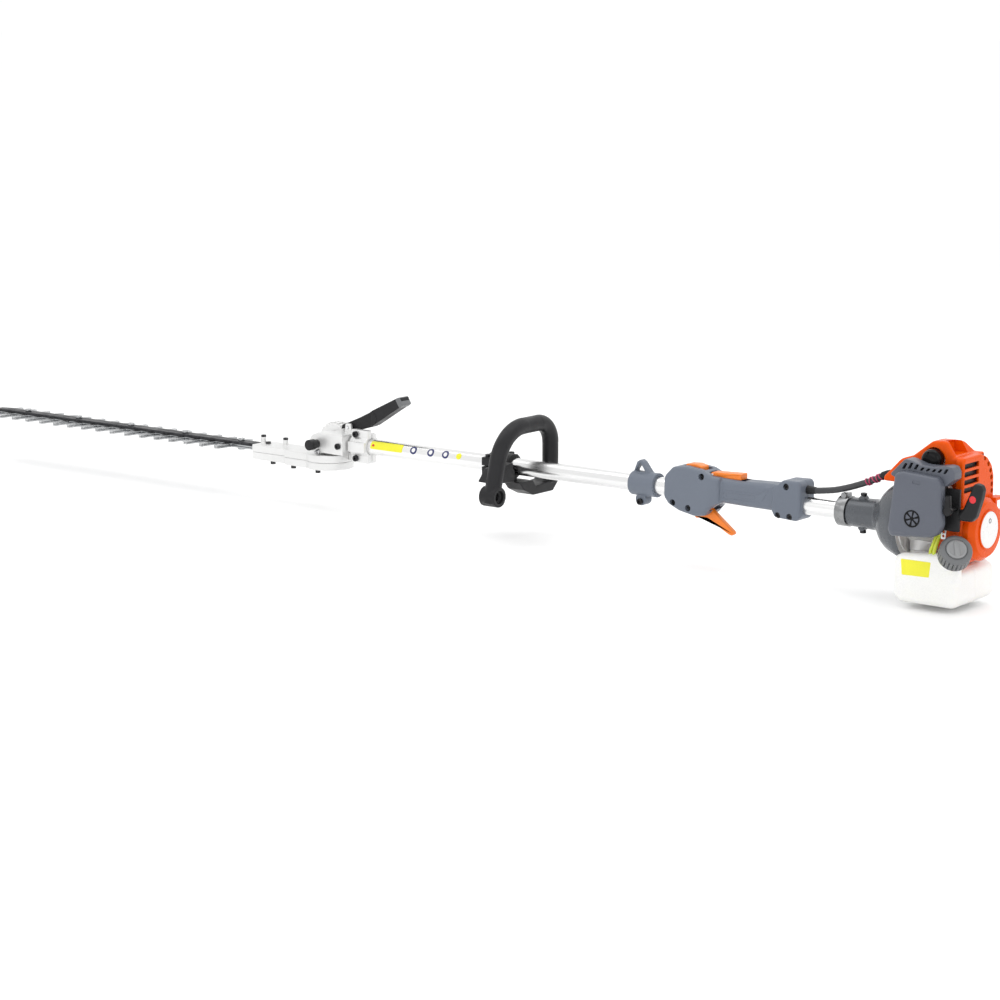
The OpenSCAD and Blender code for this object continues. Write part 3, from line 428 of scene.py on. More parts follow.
def swept(name, path, radius, sides=16, closed=False):
    """A round bar along the path; radius may be a function of the share of the way."""
    n = len(path)
    rings = []
    side = None
    for i, point in enumerate(path):
        if closed:
            d = (path[(i + 1) % n] - path[i - 1]).normalized()
        else:
            d = (path[min(i + 1, n - 1)] - path[max(i - 1, 0)]).normalized()
        if side is None:
            side = d.cross(Vector((0, 0, 1)))
            side = side.normalized() if side.length > 1e-4 else d.orthogonal().normalized()
        side = (side - d * side.dot(d)).normalized()
        other = d.cross(side)
        r = radius(i / (n - 1)) if callable(radius) else radius
        rings.append([P(*(point + side * r * math.cos(2 * math.pi * k / sides)
                          + other * r * math.sin(2 * math.pi * k / sides))) for k in range(sides)])
    if closed:
        return skin(name, rings + [rings[0]], ends=False)
    return skin(name, rings)


def box(x, y, z):
    corners = [(a, b, c) for a in x for b in y for c in z]
    faces = [(0, 1, 3, 2), (4, 6, 7, 5), (0, 4, 5, 1), (2, 3, 7, 6), (0, 2, 6, 4), (1, 5, 7, 3)]
    return raw("tool", [P(*c) for c in corners], faces)


def rod(axis, a, b, r, at, sides=40):
    return turned("tool", [(a, r), (b, r)], axis, at, sides)


def prism(points, axis, a, b):
    return plate("tool", [Vector(p) for p in points], axis, a, b)


def baked(ob):
    """Replaces the object's mesh by what its modifiers make of it."""
    graph = bpy.context.evaluated_depsgraph_get()
    mesh = bpy.data.meshes.new_from_object(ob.evaluated_get(graph))
    ob.modifiers.clear()
    old, ob.data = ob.data, mesh
    bpy.data.meshes.remove(old)
    return ob


def joined(name, parts):
    work = bmesh.new()
    for part in parts:
        work.from_mesh(part.data)
    mesh = bpy.data.meshes.new(name)
    work.to_mesh(mesh)
    work.free()
    for part in parts:
        old = part.data
        bpy.data.objects.remove(part)
        bpy.data.meshes.remove(old)
    return link(name, mesh)


def carved(ob, *tools):
    """Takes the tools' shapes away from the object."""
    tool = joined("tool", tools)
    cut = ob.modifiers.new("cut", "BOOLEAN")
    cut.object = tool
    cut.solver = "EXACT"
    cut.use_self = True
    baked(ob)
    mesh = tool.data
    bpy.data.objects.remove(tool)
    bpy.data.meshes.remove(mesh)
    return ob


def moulded(ob, voxel, rounds, keep=1.0):
    """Melts overlapping closed shapes into one skin with soft corners."""
    remesh = ob.modifiers.new("melt", "REMESH")
    remesh.mode = "VOXEL"
    remesh.voxel_size = voxel * MM
    remesh.use_smooth_shade = True
    relax = ob.modifiers.new("relax", "SMOOTH")
    relax.factor = 0.5
    relax.iterations = rounds
    if keep < 1:
        thin = ob.modifiers.new("thin", "DECIMATE")
        thin.ratio = keep
    return ob


SHADE_ANGLE = math.radians(35)      # a new piece is shaded smooth over edges that turn less than this


def piece(ob, material, body, *replaced, slot=None):
    """Finishes a piece: its material, its shading and the body it rides."""
    ob.data.materials.clear()
    ob.data.materials.append(M[material])
    for polygon in ob.data.polygons:
        polygon.use_smooth = True
    ob.data.set_sharp_from_angle(angle=SHADE_ANGLE)
    if replaced:
        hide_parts(*replaced)
    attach(ob, body)
    return ob


def named(ob, name):
    ob.name = name
    return ob


# CAD nodes that are kept: their finish, and modifiers that ease their edges

SHARP = math.radians(32)      # edges that turn further than this are corners


def shading_group():
    """Geometry nodes that drop the imported normals, weld the corners and shade by angle."""
    groups = []
    for name, first in (("weld_corners", True), ("shade_by_angle", False)):
        group = bpy.data.node_groups.new(name, "GeometryNodeTree")
        group.interface.new_socket("Geometry", in_out="INPUT", socket_type="NodeSocketGeometry")
        group.interface.new_socket("Geometry", in_out="OUTPUT", socket_type="NodeSocketGeometry")
        start = group.nodes.new("NodeGroupInput").outputs[0]
        end = group.nodes.new("NodeGroupOutput").inputs[0]
        if first:
            drop = group.nodes.new("GeometryNodeRemoveAttribute")
            drop.inputs["Name"].default_value = "custom_normal"
            weld = group.nodes.new("GeometryNodeMergeByDistance")
            weld.inputs["Distance"].default_value = 0.000004
            group.links.new(start, drop.inputs[0])
            group.links.new(drop.outputs[0], weld.inputs["Geometry"])
            group.links.new(weld.outputs[0], end)
        else:
            angle = group.nodes.new("GeometryNodeInputMeshEdgeAngle")
            compare = group.nodes.new("FunctionNodeCompare")
            compare.data_type = "FLOAT"
            compare.operation = "GREATER_THAN"
            compare.inputs["B"].default_value = SHARP
            whole = group.nodes.new("GeometryNodeSetShadeSmooth")
            whole.domain = "FACE"
            sharp = group.nodes.new("GeometryNodeSetShadeSmooth")
            sharp.domain = "EDGE"
            sharp.inputs["Shade Smooth"].default_value = False
            group.links.new(angle.outputs["Unsigned Angle"], compare.inputs["A"])
            group.links.new(start, whole.inputs["Geometry"])
            group.links.new(whole.outputs[0], sharp.inputs["Geometry"])
            group.links.new(compare.outputs["Result"], sharp.inputs["Selection"])
            group.links.new(sharp.outputs[0], end)
        groups.append(group)
    return groups


WELD, SHADE = shading_group()


def eased_node(name, width, segments=3):
    """Rounds a kept node's edges by width, in mm."""
    ob = NODES[name]
    ob.modifiers.new("weld", "NODES").node_group = WELD
    flat = ob.modifiers.new("flat", "DECIMATE")
    flat.decimate_type = "DISSOLVE"
    flat.angle_limit = math.radians(0.4)
    soft = ob.modifiers.new("soft", "BEVEL")
    soft.width = width * MM
    soft.segments = segments
    soft.limit_method = "ANGLE"
    soft.angle_limit = SHARP
    soft.use_clamp_overlap = True
    ob.modifiers.new("shade", "NODES").node_group = SHADE


def melted_node(name, voxel, rounds, keep=0.4):
    """Gives a kept node the soft corners of a casting or moulding."""
    moulded(NODES[name], voxel, rounds, keep)


for node in NODES.values():
    node.data.materials[0] = M[node.data.materials[0].name.split(".")[0]]

for name in ("upper_blade", "lower_blade"):
    eased_node(name, 0.55, 1)
eased_node("guide_bar", 0.5, 2)
for name in ("blade_bolts", "gear_case_screws", "head_screws", "loop_screws", "harness_screw",
             "housing_screws", "clutch_screws"):
    eased_node(name, 0.35, 2)
eased_node("tilt_bolt", 1.2, 3)
for name in ("crankcase", "cylinder_barrel", "carburettor", "muffler", "flywheel", "air_filter"):
    eased_node(name, 0.5, 2)
eased_node("tube_clamp_ring", 0.7, 2)
NODES["tube_clamp_ring"].data.materials[0] = M["clamp_steel"]
eased_node("tank_foot", 1.5, 3)
eased_node("choke_lever", 0.7, 2)
eased_node("starter_housing", 1.1, 3)
for name, voxel, rounds in (("gear_case_upper", 0.8, 5), ("gear_case_lower", 0.8, 5),
                            ("joint_housing", 0.7, 5), ("tube_clamp_cap", 0.7, 5),
                            ("loop_clamp_cap", 0.8, 4), ("harness_ring", 0.7, 5)):
    melted_node(name, voxel, rounds)


# The filler's slanted axis

FILLER = Matrix.Translation(P(46, -51, -34.5)) @ Matrix.Rotation(math.radians(-50), 4, "Z") @ Matrix.Rotation(
    math.radians(52), 4, "Y")


def on_filler(ob):
    """Moves a piece turned about the Z axis through the pole's origin to the filler's slanted axis."""
    ob.data.transform(FILLER @ Matrix.Translation(-P(0, 0, 0)))
    return ob


# Air filter cover

COVER = [(-34, 2, 8), (-30, -7.5, 6), (30, -3.5, 16), (40, 3, 10), (45, 14, 14), (43, 64, 12), (38, 76, 9),
         (-14, 80, 16), (-25, 76, 8)]
cover = plate("filter_cover_shell", outline(COVER, 8, 7), "y", -85.4, -71.4, 6.5, 0.6, 0.8, steps=9)
latch = plate("tool", outline([(3, 66), (15, 65.6), (15, 70), (3, 70.4)], 2.2), "y", -90, -84.9)
carved(cover, latch)
piece(cover, "cover_plastic", "pole", "filter_cover")

BASE = [(-27, 0, 5), (-24, -4, 4), (29, 0, 6), (37, 5, 8), (40, 14, 6), (38.5, 62, 8), (34, 70, 6),
        (-12, 76, 10), (-18, 71, 5)]
SIDE = [(34, 4), (57.5, 4), (57.5, 60), (34, 60)]
back = joined("filter_back", [plate("part", outline(BASE, 5, 5), "y", -71, -54, 1.2, 1.2),
                              plate("part", outline(SIDE, 1.5, 3), "y", -58, -54, 0.8, 0.8)])
piece(back, "black_plastic", "pole", "filter_base")
VENT = [(-39, 72, 3), (-17, 94.4, 4), (-9, 93.5, 8), (8, 88, 20), (24, 88, 20), (43, 90.8, 10), (51, 90, 4),
        (55, 83, 5), (55, 74, 4), (43, 64, 3), (37, 62, 2), (-14, 70, 3), (-26, 66, 4)]
vent = plate("vent_plate", outline(VENT, 4, 7), "y", -71.2, -50, 1.8, 1.0)
SLOTS = ((-21, 81, 89), (-12.5, 82, 90.5), (-4, 82, 89), (4.6, 81.4, 86), (13.2, 81.4, 85.6),
         (21.8, 81.4, 85.6), (30.4, 81.4, 86.4), (39, 80.8, 87.4))
slots = [prism(outline([(x, low), (x + 4.2, low), (x + 8.4, high), (x + 4.2, high)], 0.8, 3), "y", -75, -48)
         for x, low, high in SLOTS]
piece(carved(vent, *slots), "cover_plastic", "pole")


def emblem(name, at, y, r, material):
    """A plain ring round a plain spoked boss."""
    parts = [turned("part", eased([(y + 0.6, r - 1.9), (y - 0.9, r - 1.9), (y - 0.9, r), (y + 0.6, r),
                                   (y + 0.6, r - 1.9)], 0.4), "y", at, 64),
             turned("part", eased([(y + 0.6, 0), (y - 0.9, 0), (y - 0.9, 2.6), (y + 0.6, 2.6), (y + 0.6, 0)],
                                  0.4), "y", at, 40)]
    for k in range(6):
        c, s = math.cos(k * math.pi / 3 + 0.3), math.sin(k * math.pi / 3 + 0.3)
        spoke = [(2.2, -0.8), (r - 1.4, -1.5), (r - 1.4, 1.5), (2.2, 0.8)]
        spoke = [(at[0] + u * c - v * s, at[1] + u * s + v * c) for u, v in spoke]
        parts.append(plate("part", outline(spoke, 0.5, 2), "y", y - 0.5, y + 0.6, 0.25, 0))
    return piece(joined(name, parts), material, "pole", slot="grey_plastic")


emblem("cover_emblem", (4, 20), -86.0, 11.4, "boot_rubber")

# Spark plug boot

PLUG = (6, 91)
boot = turned("part", eased([(-33, 0), (-33, 15), (-40, 15), (-45.5, 13.4), (-48.8, 9.4), (-49.8, 3),
                             (-49.8, 0)], 3, 6), "y", PLUG, 96)
lead = swept("part", smooth_path([(6, -44, 88), (5, -44.5, 80), (4, -44.5, 72), (4, -43, 66.5)]), 4.8, 24)
seam = plate("part", outline([(2, 80), (4.6, 80), (4.6, 103.5), (2, 103.5)], 1), "y", -49.4, -40, 1.2, 0)
piece(joined("plug_boot_dome", [boot, lead, seam]), "boot_rubber", "pole", "plug_boot")


# Engine shroud

HOOD = [(-40, 30, 2), (-40, 54.4, 2), (-70, 54.4, 3), (-69, 61, 8), (-60, 70, 18), (-44, 87, 16),
        (-27, 92.5, 10), (2, 115, 10), (18, 116.5, 5), (23, 115, 3), (34, 98, 4), (34, 30, 2)]
FAN = [(-43, 98, 6), (8, 98, 12), (25, 91.5, 12), (37, 80, 12), (43, 66, 12), (44, 45, 12), (43, -34, 8),
       (34, -44, 8), (-34, -44, 8), (-43, -36, 8)]
hood = baked(moulded(plate("part", outline(HOOD, 4, 7), "y", -34, 34, 3.6, 4.5), 1.1, 2, 0.2))
ABOVE = [(60, 130), (60, 60), (35, 86), (13, 110.2), (6, 113.2), (-36, 117.5), (-60, 120), (-60, 130)]
carved(hood, prism(ABOVE, "x", -90, 60))
core = plate("part", outline([(14, -44), (44, -44), (44, 97), (14, 97)], 3), "y", -34, 34, 4, 4)
fan = plate("part", outline(FAN, 8, 7), "x", 42, 54, 1.5, 3.6)
shroud = baked(moulded(joined("shroud_shell", [hood, core, fan]), 1.1, 3, 0.3))
HOLLOW = [(12, 20), (12, 113), (3, 112), (-26, 90), (-43, 84.5), (-58, 67.5), (-66.5, 56.8), (-41, 56.8),
          (-41, 20)]
FAN_HOLLOW = [(-40.5, 88), (-40.5, -34.5), (-33, -41.5), (33, -41.5), (40.5, -33), (41.5, 45), (40.5, 65.5),
              (34.8, 78.8), (23.4, 89.4), (7.5, 95), (-31.5, 95)]
INSIDE_ABOVE = [(60, 130), (60, 56.6), (35, 82.6), (10, 109.1), (-36, 114.1), (-60, 116.6), (-60, 130)]
inner = prism(HOLLOW, "y", -31.5, 31.5)
carved(inner, prism(INSIDE_ABOVE, "x", -90, 60))
carved(shroud, inner, box((0, 44), (-31.4, 31.4), (-41.5, 94.5)),
       prism(FAN_HOLLOW, "x", 40, 51.5))
POCKET = [(24.6, 118), (36.2, 98.4), (15, 98.4), (13, 110), (19, 118)]
PLUG_HOLE_R = 16.2
carved(shroud, prism(POCKET, "y", -27, 5), rod("x", 50, 56, 30, (0, 0), 72),
       rod("y", -40, -30, PLUG_HOLE_R, PLUG, 48), box((-31, -1), (-40, -30), (20, 68)),
       box((-42, 18), (30, 40), (20, 78)), rod("x", -75, -60, 4.9, (0, 60.5), 24),
       rod("x", -80, -36.5, 53.8, (0, 0), 96))
LOUVRE_LOWS = [51.5 + 10.6 * i for i in range(4)]
LOUVRE_HIGH = 7
VENT_HOLES = ((15.4, 91.3), (25.3, 82.4), (31.6, 73), (34.6, 63.4), (36.4, 54), (37, 45))
VENT_HOLE_R = 3.5
tools = [prism(outline([(-40, low), (-1, low), (-1, low + LOUVRE_HIGH), (-40, low + LOUVRE_HIGH)], 1.2, 3),
               "x", 48, 58) for low in LOUVRE_LOWS]
tools += [rod("x", 48, 58, VENT_HOLE_R, at, 24) for at in VENT_HOLES]
tools.append(on_filler(joined("tool", [turned("tool", [(-20, 17.4), (9, 17.4)], "z", (0, 0), 48),
                                       turned("tool", [(8, 22.5), (38, 22.5)], "z", (0, 0), 48)])))
carved(shroud, *tools)
piece(shroud, "orange_plastic", "pole", "engine_shroud")

# Painted shade: a black sheet behind the louvres that darkens their slots
louvre_shade = plate("louvre_shade_sheet", outline([(-40.4, 50), (-0.5, 50), (-0.5, 92), (-40.4, 92)], 2), "x", 47.6, 49.2,
               0.3, 0.3)
piece(louvre_shade, "black_plastic", "pole")


# Starter housing's badge

badge = turned("badge_face", eased([(71.0, 0), (71.0, 24.4), (71.6, 24.2), (72.0, 19), (72.2, 0)], 0.4), "x",
               (0, 0), 96)
piece(badge, "white_paint", "pole")
rim = turned("badge_rim", eased([(69.8, 24.4), (69.8, 26.8), (71.5, 26.7), (72.3, 25.6), (71.6, 24.4),
                                 (69.8, 24.4)], 0.5), "x", (0, 0), 96)
piece(rim, "orange_plastic", "pole")
mark = turned("badge_mark", eased([(72.0, 2.2), (72.0, 3.4), (72.4, 3.3), (72.4, 2.3), (72.0, 2.2)], 0.1),
              "x", (0, 12), 40)
piece(mark, "cap_plastic", "pole")


# Starter grip and its rope

GRIP = [(63, 21, 3), (59, 28, 4), (67, 38, 8), (76.4, 60, 8), (78.6, 68, 5), (83, 72, 3), (91, 70, 4),
        (94, 64, 5), (92, 52, 8), (84.6, 27, 5), (79, 21, 3)]
grip = baked(moulded(plate("pull_grip", outline(GRIP, 4, 6), "y", -68, -53, 4.2, 4.2), 0.8, 3))
dot = turned("grip_dot", eased([(-67.4, 0), (-68.4, 0), (-68.8, 3.2), (-68.2, 4.8), (-67.4, 4.8), (-67.4, 0)],
                               0.3), "y", (81, 51), 40)
piece(grip, "black_plastic", "starter_grip", "starter_handle")
piece(dot, "red_plastic", "starter_grip")
ROPE_AT = (61, 26)
ROPE_STEPS = 110
cord = swept("starter_rope", [Vector((ROPE_AT[0], -54 + k * 0.8, ROPE_AT[1])) for k in range(ROPE_STEPS + 1)],
             1.6, 12)
piece(cord, "rope", "starter_grip")
guide = turned("rope_guide", eased([(-52.2, 2.3), (-55.4, 3.4), (-55.4, 7.2), (-50, 8), (-50, 2.3),
                                    (-52.2, 2.3)], 0.8), "y", ROPE_AT, 40)
piece(guide, "black_plastic", "pole")


# Clutch housing

BELL = [(-151, 12.75), (-151, 17.2), (-150.6, 17.5), (-135.8, 17.5), (-134.2, 19.6), (-92, 21.4), (-88, 24),
        (-82, 31), (-76, 39), (-68, 45.5), (-58, 50), (-50, 52.9), (-42.1, 53), (-42.1, 49.5), (-49, 49.5),
        (-56, 46), (-63, 41), (-70, 34), (-76, 26), (-79.5, 18), (-80, 11), (-112, 11), (-112, 12.75),
        (-151, 12.75)]
bell = turned("clutch_bell", eased(BELL, 3.2, 5), "x", (0, 0), 128)
piece(bell, "grey_enamel", "pole", "clutch_housing")
for z, label in ((19, "top"), (-19, "low")):
    boss = turned(f"clutch_boss_{label}", eased([(-6, 0), (-6, 5.2), (6, 5.2), (6, 0)], 1.2), "y", (-117, z),
                  40)
    piece(boss, "grey_enamel", "pole")
flange = turned("bell_flange", eased([(-48, 52.2), (-48, 54.0), (-42.6, 54.0), (-39.2, 53.4), (-39.2, 52.2),
                                      (-48, 52.2)], 0.5), "x", (0, 0), 128)
piece(flange, "grey_enamel", "pole")


# Fuel tank, its neck, label and cap

TANK = [(-37, -50, 8), (-31, -46, 6), (46, -49, 10), (56, -55, 9), (58, -92, 12), (50, -100, 12),
        (-28, -100, 12), (-38, -90, 12)]
HUMP = [(-37, -46, 8), (-34, -38, 6), (-26, -34, 8), (38, -26, 14), (52, -30, 10), (58, -44, 10),
        (58, -70, 6), (-38, -70, 6)]
body = plate("part", outline(TANK, 8, 7), "y", -59.4, 49.4, 9, 9)
front = plate("part", outline(HUMP, 8, 7), "y", -59.4, -44.5, 7, 3)
seam = plate("part", outline([(p[0] + (0.9 if p[0] > 0 else -0.9), p[1] + (0.9 if p[1] > -70 else 0), p[2])
                              for p in TANK], 8, 7), "y", -6.2, -3.8, 0.6, 0.6)
neck = on_filler(turned("part", [(-8, 0), (-8, 16.9), (20, 16.9), (20, 0)], "z", (0, 0), 64))
saddle = plate("part", outline([(-34, -50), (2, -50), (2, -36), (-34, -36)], 1.5), "y", -20, 20, 1.2, 1.2)
tank = baked(moulded(joined("tank_shell", [body, front, seam, neck, saddle]), 1.3, 4, 0.4))
piece(tank, "tank_plastic", "pole", "fuel_tank")
label = plate("tank_label", outline([(-23, -62), (17, -61), (19, -40.5), (-25, -41)], 1.5), "y", -59.75,
              -59.3, 0.1, 0)
piece(label, "label_yellow", "pole", slot="tank_plastic")

CAP_R = 21.5
CAP_RIBS, RIB_DEPTH = 24, 0.085
RIBS_LOW, RIBS_HIGH = 9, 27.5


def cap_ribs(angle, w):
    if not RIBS_LOW < w < RIBS_HIGH:
        return 1
    fade = min(1, (w - RIBS_LOW) / 1.5, (RIBS_HIGH - w) / 2)
    return 1 - RIB_DEPTH * max(0.0, math.cos(CAP_RIBS * angle)) ** 2 * fade


CAP = [(8.6, 17.2), (8.6, CAP_R - 0.6), (9.4, CAP_R), (12, CAP_R), (18, CAP_R), (24, CAP_R), (26.5, CAP_R),
       (28.4, CAP_R - 0.8), (30.2, CAP_R - 3.2), (30.4, 15.2), (29.2, 13.8), (29.2, 0)]
cap_shell = on_filler(turned("part", eased(CAP, 0.6, 3), "z", (0, 0), 240, waves=cap_ribs))
piece(named(cap_shell, "cap_shell"), "cap_plastic", "tank_cap", "fuel_cap")
face = turned("part", eased([(29, 0), (29, 13.4), (31.4, 13), (32.2, 11), (31.4, 9), (31.2, 0)], 0.6), "z",
              (0, 0), 72)
bar = plate("part", outline([(-11, -3.4), (11, -3.4), (11, 3.4), (-11, 3.4)], 3.2, 6), "z", 30, 33, 0, 1.2)
piece(on_filler(joined("cap_face_grip", [face, bar])), "cap_face", "tank_cap", slot="cap_plastic")
strip = turned("part", eased([(10, 14.2), (10, 19.8), (8.2, 19.8), (8.2, 14.2), (10, 14.2)], 0.3), "z",
               (0, 0), 64)
piece(named(on_filler(strip), "filler_seal"), "bush_rubber", "pole")


# Throttle cable's sheath with its ties, and the fuel hose

ROUTE = [(-214, 0, 22), (-194, 0, 22), (-177, 0, 24), (-160, 0, 27), (-139, 0, 33), (-117, 0, 41),
         (-98, 0, 49), (-82, 0, 57), (-68, 0, 61)]
route = smooth_path(ROUTE, 10)
SHEATH_R, RIPPLE, RIPPLE_RATE = 4.38, 0.06, 620
sheath = swept("cable_sheath", route, lambda t: SHEATH_R + RIPPLE * math.sin(t * RIPPLE_RATE), 24)
piece(sheath, "conduit_plastic", "pole", "throttle_conduit")
collar = swept("sheath_collar", smooth_path([(-209, 0, 22), (-200, 0, 22), (-192, 0, 22.2)], 6),
               lambda t: 6.4 - 1.6 * t, 24)
piece(collar, "black_plastic", "pole")


def along(share):
    i = share * (len(route) - 1)
    k = min(int(i), len(route) - 2)
    return route[k].lerp(route[k + 1], i - k), (route[k + 1] - route[k]).normalized()


def band(name, share, r, thick, material, tilt=0.0):
    at, d = along(share)
    side = d.cross(Vector((0, 1, 0))).normalized()
    other = d.cross(side)
    d = (d + side * tilt).normalized()
    side = (side - d * side.dot(d)).normalized()
    path = [at + side * r * math.cos(t / 20 * math.pi) + other * r * math.sin(t / 20 * math.pi)
            for t in range(40)]
    return piece(swept(name, path, thick, 10, closed=True), material, "pole", slot="conduit_plastic")


for k, (share, tilt) in enumerate(((0.66, 0.3), (0.69, -0.25), (0.73, 0.4), (0.765, -0.1), (0.80, 0.35))):
    band(f"cable_tie_{k}", share, 5.0, 0.9, "tie_pink", tilt)
at, d = along(0.865)
plug = swept("cable_connector", [at + d * k for k in (-7, -6, -5.6, -2, -1.6, 2, 2.4, 6, 7)],
             lambda t: 5.4 if 0.2 < t < 0.8 else 4.9, 24)
piece(plug, "black_plastic", "pole")

FUEL_RUN = ((27.5, -50, 10), (29.5, -54, 1), (26.5, -57, -12), (22, -56, -25), (20, -53, -36))
RETURN_RUN = ((22, -50, 6), (23.5, -54, -3), (20.5, -56, -15), (16, -55, -26), (14, -52, -36))
for name, r, path in (("fuel_hose", 2.6, FUEL_RUN), ("return_hose", 2.2, RETURN_RUN)):
    piece(swept(name, smooth_path(path, 8), r, 20), "hose_green", "pole", slot="conduit_plastic")

BRACKET = [(31, -8), (38.4, -8), (39.4, 17), (32.4, 18)]
bracket = plate("hose_bracket", outline(BRACKET, 1.6, 4), "y", -57.2, -55.8, 0.4, 0.4)
carved(bracket, *[rod("y", -60, -53, 1.9, (35 + k * 0.2, -3.6 + k * 5.6), 24) for k in range(4)])
piece(bracket, "silver_screw", "pole")
dot = turned("choke_screw", eased([(-60.6, 0), (-60.6, 2.2), (-58.4, 3.4), (-57.8, 3.4), (-57.8, 0)], 0.7),
             "y", (41, 39), 32)
piece(dot, "silver_screw", "pole")


# Throttle housing: two shells moulded round the pole

FRONT = [(-430, -10, 10), (-429, 20, 14), (-415, 34, 10), (-394, 37, 14), (-368, 34, 12), (-350, 26, 10),
         (-336, 26, 4), (-336, -10, 4), (-350, -17, 8), (-362, -31, 9), (-378, -33, 12), (-404, -28, 14),
         (-422, -20, 10)]
GRIP_PART = [(-348, -10, 2), (-348, 26, 2), (-300, 24.6, 30), (-236, 27, 2), (-236, -12, 2),
             (-300, -11.4, 30)]
REAR = [(-252, -10, 6), (-247, -19, 6), (-212, -21, 7), (-205, -14, 6), (-205, 30, 6), (-209, 35, 5),
        (-235, 34, 5), (-243, 27, 5), (-252, 26, 5)]
PLACES = ((-365, 25), (-387, -22), (-413, -17), (-228, 26), (-241, -15.5), (-222, -15.5))


def throttle_shell(side, name, cad):
    parts = [plate("part", outline(FRONT, 8, 6), "y", -22.8, 22.8, 5.5, 5.5),
             plate("part", outline(GRIP_PART, 6, 6), "y", -17, 17, 9.5, 9.5),
             plate("part", outline(REAR, 5, 6), "y", -20, 20, 4.5, 4.5)]
    shell = baked(moulded(joined(name, parts), 1.0, 6))
    carved(shell, box((-440, -190), sorted((0.2 * side, -40 * side)), (-60, 60)))
    carved(shell, rod("x", -432, -200, TUBE_R + 0.06, (0, 0), 72))
    carved(shell, box((-419, -352), (-15, 15), (-24, 24)), box((-392, -346), (-5.6, 5.6), (-42, -12)),
           box((-404.2, -365.8), (-10.4, 10.4), (20, 42)))
    carved(shell, box((-361, -300), (-9.7, 9.7), (14.2, 43)), rod("x", -216, -200, 4.6, (0, 22), 24))
    if side < 0:
        carved(shell, *[rod("y", -30, -14.2, 4.7, p, 32) for p in PLACES])
    return piece(shell, "grey_plastic", "pole", cad)


throttle_shell(-1, "throttle_shell_left", "housing_left")
throttle_shell(1, "throttle_shell_right", "housing_right")

for side, label in ((-1, "left"), (1, "right")):
    line = outline([(-332, -2.5), (-330, 9.5), (-276, 10), (-262, 17.5), (-258, 17), (-270, -1.5)], 2.4, 3)
    path = [Vector((p.x, side * 16.75, p.y)) for p in dense(line, 4)]
    piece(swept(f"grip_line_{label}", path, 0.62, 8, closed=True), "grey_plastic", "pole")
    inner = outline([(-327, 0.5), (-326, 6), (-281, 6.6), (-279, 1.0)], 1.6, 3)
    path = [Vector((p.x, side * 16.75, p.y)) for p in dense(inner, 4)]
    piece(swept(f"grip_line_inner_{label}", path, 0.5, 8, closed=True), "grey_plastic", "pole")

TRIGGER = [(-375.5, -15.4, 3), (-368.5, -14.2, 3), (-358, -24, 6), (-324, -50, 3), (-321, -54, 2),
           (-325, -57, 2), (-330, -56, 3), (-366, -37, 8), (-386, -38.5, 2), (-388, -35, 2), (-379, -28, 4)]
trigger = plate("trigger_blade", outline(TRIGGER, 3, 6), "y", -4.4, 4.4, 1.6, 1.6)
piece(trigger, "trigger_plastic", "trigger", "throttle_trigger", slot="orange_plastic")
LOCKOUT = [(-358, 24, 1), (-358, 31, 3), (-330, 32, 8), (-308, 33, 1.5), (-308, 24, 1.5), (-330, 23, 4),
           (-350, 22, 2)]
lockout = plate("lockout_blade", outline(LOCKOUT, 2, 5), "y", -8.8, 8.8, 1.5, 1.5)
piece(lockout, "trigger_plastic", "lockout", "trigger_lockout", slot="orange_plastic")
SWITCH = [(-400, 25, 1), (-400, 38.5, 2.5), (-384, 39.5, 8), (-373, 37, 2.5), (-373, 25, 1)]
switch = plate("stop_slider", outline(SWITCH, 2, 5), "y", -9.4, 9.4, 1.5, 1.5)
piece(switch, "trigger_plastic", "switch", "stop_switch", slot="orange_plastic")

# Loop handle and lever keep their CAD shapes, with moulded corners

melted_node("loop_handle", 0.9, 5, 0.5)
melted_node("adjusting_lever", 0.7, 5, 0.5)
bend = smooth_path([(-989.4, -5.1, 34), (-982, -5.1, 39), (-979.4, -5.1, 46), (-983.5, -5.1, 53),
                    (-990, -5.1, 56)], 6)
piece(swept("lever_panel_line", bend, 0.8, 10), "black_plastic", "lever")
tip = plate("lever_tip", outline([(-941, 80.6), (-931.5, 84), (-924.2, 72.4), (-932, 66.6)], 2.4, 5), "y",
            -5.8, 15.8, 1.6, 1.6)
piece(tip, "cap_plastic", "lever", slot="black_plastic")

nipple = turned("grease_nipple", eased([(-29.5, 0), (-29.5, 4.4), (-32.6, 4.4), (-33.2, 2.6), (-37.4, 2.3),
                                        (-38.4, 1.6), (-38.4, 0)], 0.5), "y", (-1078, -12.5), 24)
piece(nipple, "silver_screw", "pole")


# Labels on the pole, blank and plain

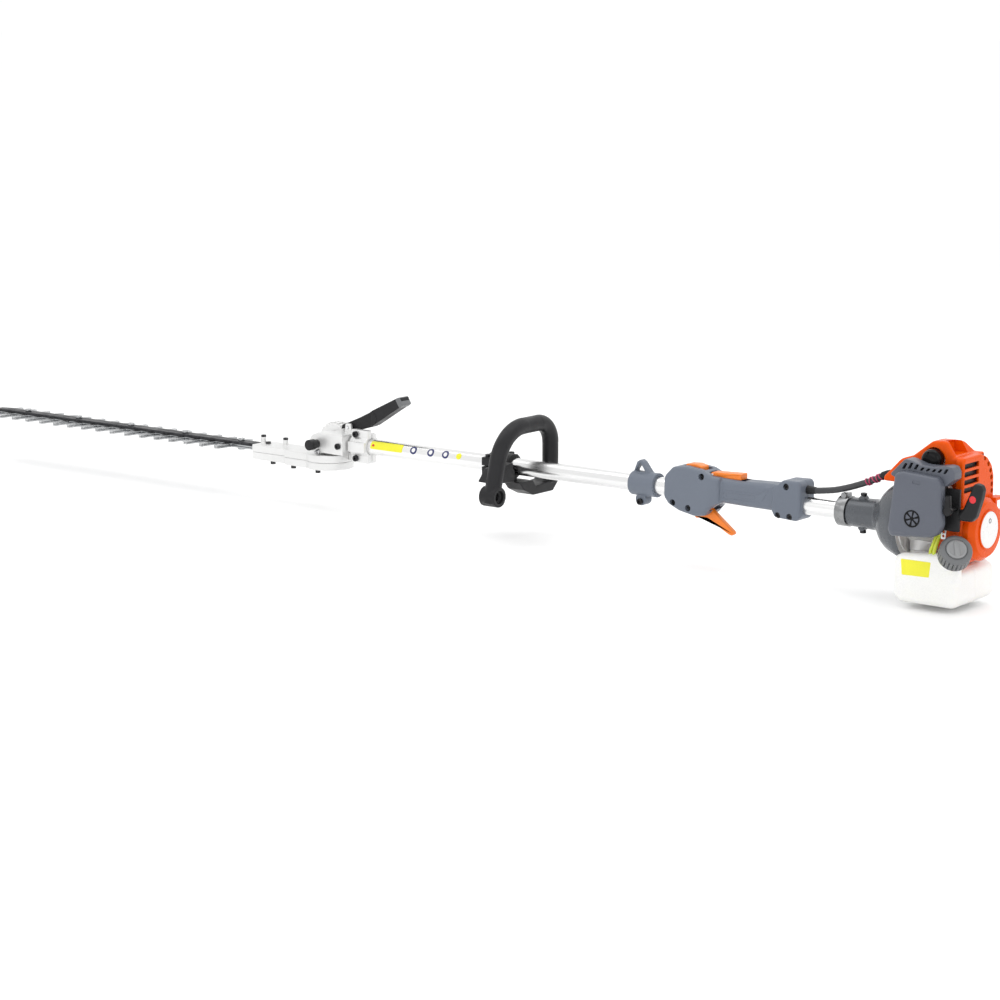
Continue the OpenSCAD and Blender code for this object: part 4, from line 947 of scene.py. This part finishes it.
def patch(name, x0, x1, middle, half, material, r=TUBE_R + 0.12, round_ends=False):
    """A thin label wrapped round the pole, middle and half being degrees from straight up towards -Y."""
    rows, cols = 24, 24
    verts, faces = [], []
    for layer in (0.0, 0.1):
        for i in range(rows + 1):
            x = x0 + (x1 - x0) * i / rows
            if round_ends:
                reach = math.sqrt(max(0.0, 1 - (2 * i / rows - 1) ** 2))
            else:
                inner = min(i, rows - i) / rows * (x1 - x0)
                reach = 1 - 0.12 * (1 - min(1, inner / 1.6))
            for k in range(cols + 1):
                angle = math.radians(middle + half * reach * (2 * k / cols - 1))
                verts.append(P(x, -(r + layer) * math.sin(angle), (r + layer) * math.cos(angle)))
    size = (rows + 1) * (cols + 1)
    for layer in (0, size):
        for i in range(rows):
            for k in range(cols):
                a = layer + i * (cols + 1) + k
                faces.append((a, a + 1, a + cols + 2, a + cols + 1))
    edge = [k for k in range(cols + 1)] + [i * (cols + 1) + cols for i in range(1, rows + 1)]
    edge += [rows * (cols + 1) + k for k in range(cols - 1, -1, -1)] + [i * (cols + 1)
                                                                        for i in range(rows - 1, 0, -1)]
    for a, b in zip(edge, edge[1:] + edge[:1]):
        faces.append((a, b, b + size, a + size))
    ob = raw(name, verts, faces)
    work = bmesh.new()
    work.from_mesh(ob.data)
    bmesh.ops.remove_doubles(work, verts=work.verts, dist=1e-6)
    bmesh.ops.recalc_face_normals(work, faces=work.faces)
    work.to_mesh(ob.data)
    work.free()
    return piece(ob, material, "pole", slot="tube_alloy")


patch("label_long", -985, -921, 62, 30, "label_yellow")
patch("label_band", -982, -977, 66, 8, "red_plastic", TUBE_R + 0.26, True)
for k, x in enumerate((-899, -865, -836)):
    patch(f"label_round_{k}", x - 6.5, x + 6.5, 62, 29, "label_blue", round_ends=True)
    patch(f"label_centre_{k}", x - 3.4, x + 3.4, 62, 15, "white_paint", TUBE_R + 0.26, True)
patch("label_round_3", -815, -805, 62, 22, "label_yellow", round_ends=True)


# Floor

FLOOR_HALF = 60         # metres
FLOOR_Z = -0.0006
floor_mesh = bpy.data.meshes.new("floor")
floor_mesh.from_pydata([(FLOOR_HALF * u, FLOOR_HALF * v, FLOOR_Z) for u,
                        v in ((-1, -1), (1, -1), (1, 1), (-1, 1))], [], [(0, 1, 2, 3)])
floor = link("floor", floor_mesh)
floor.data.materials.append(shader("studio_floor", Base_Color=(0.99, 0.99, 0.99), Roughness=1.0,
                                   Specular_IOR_Level=0.0)[0])
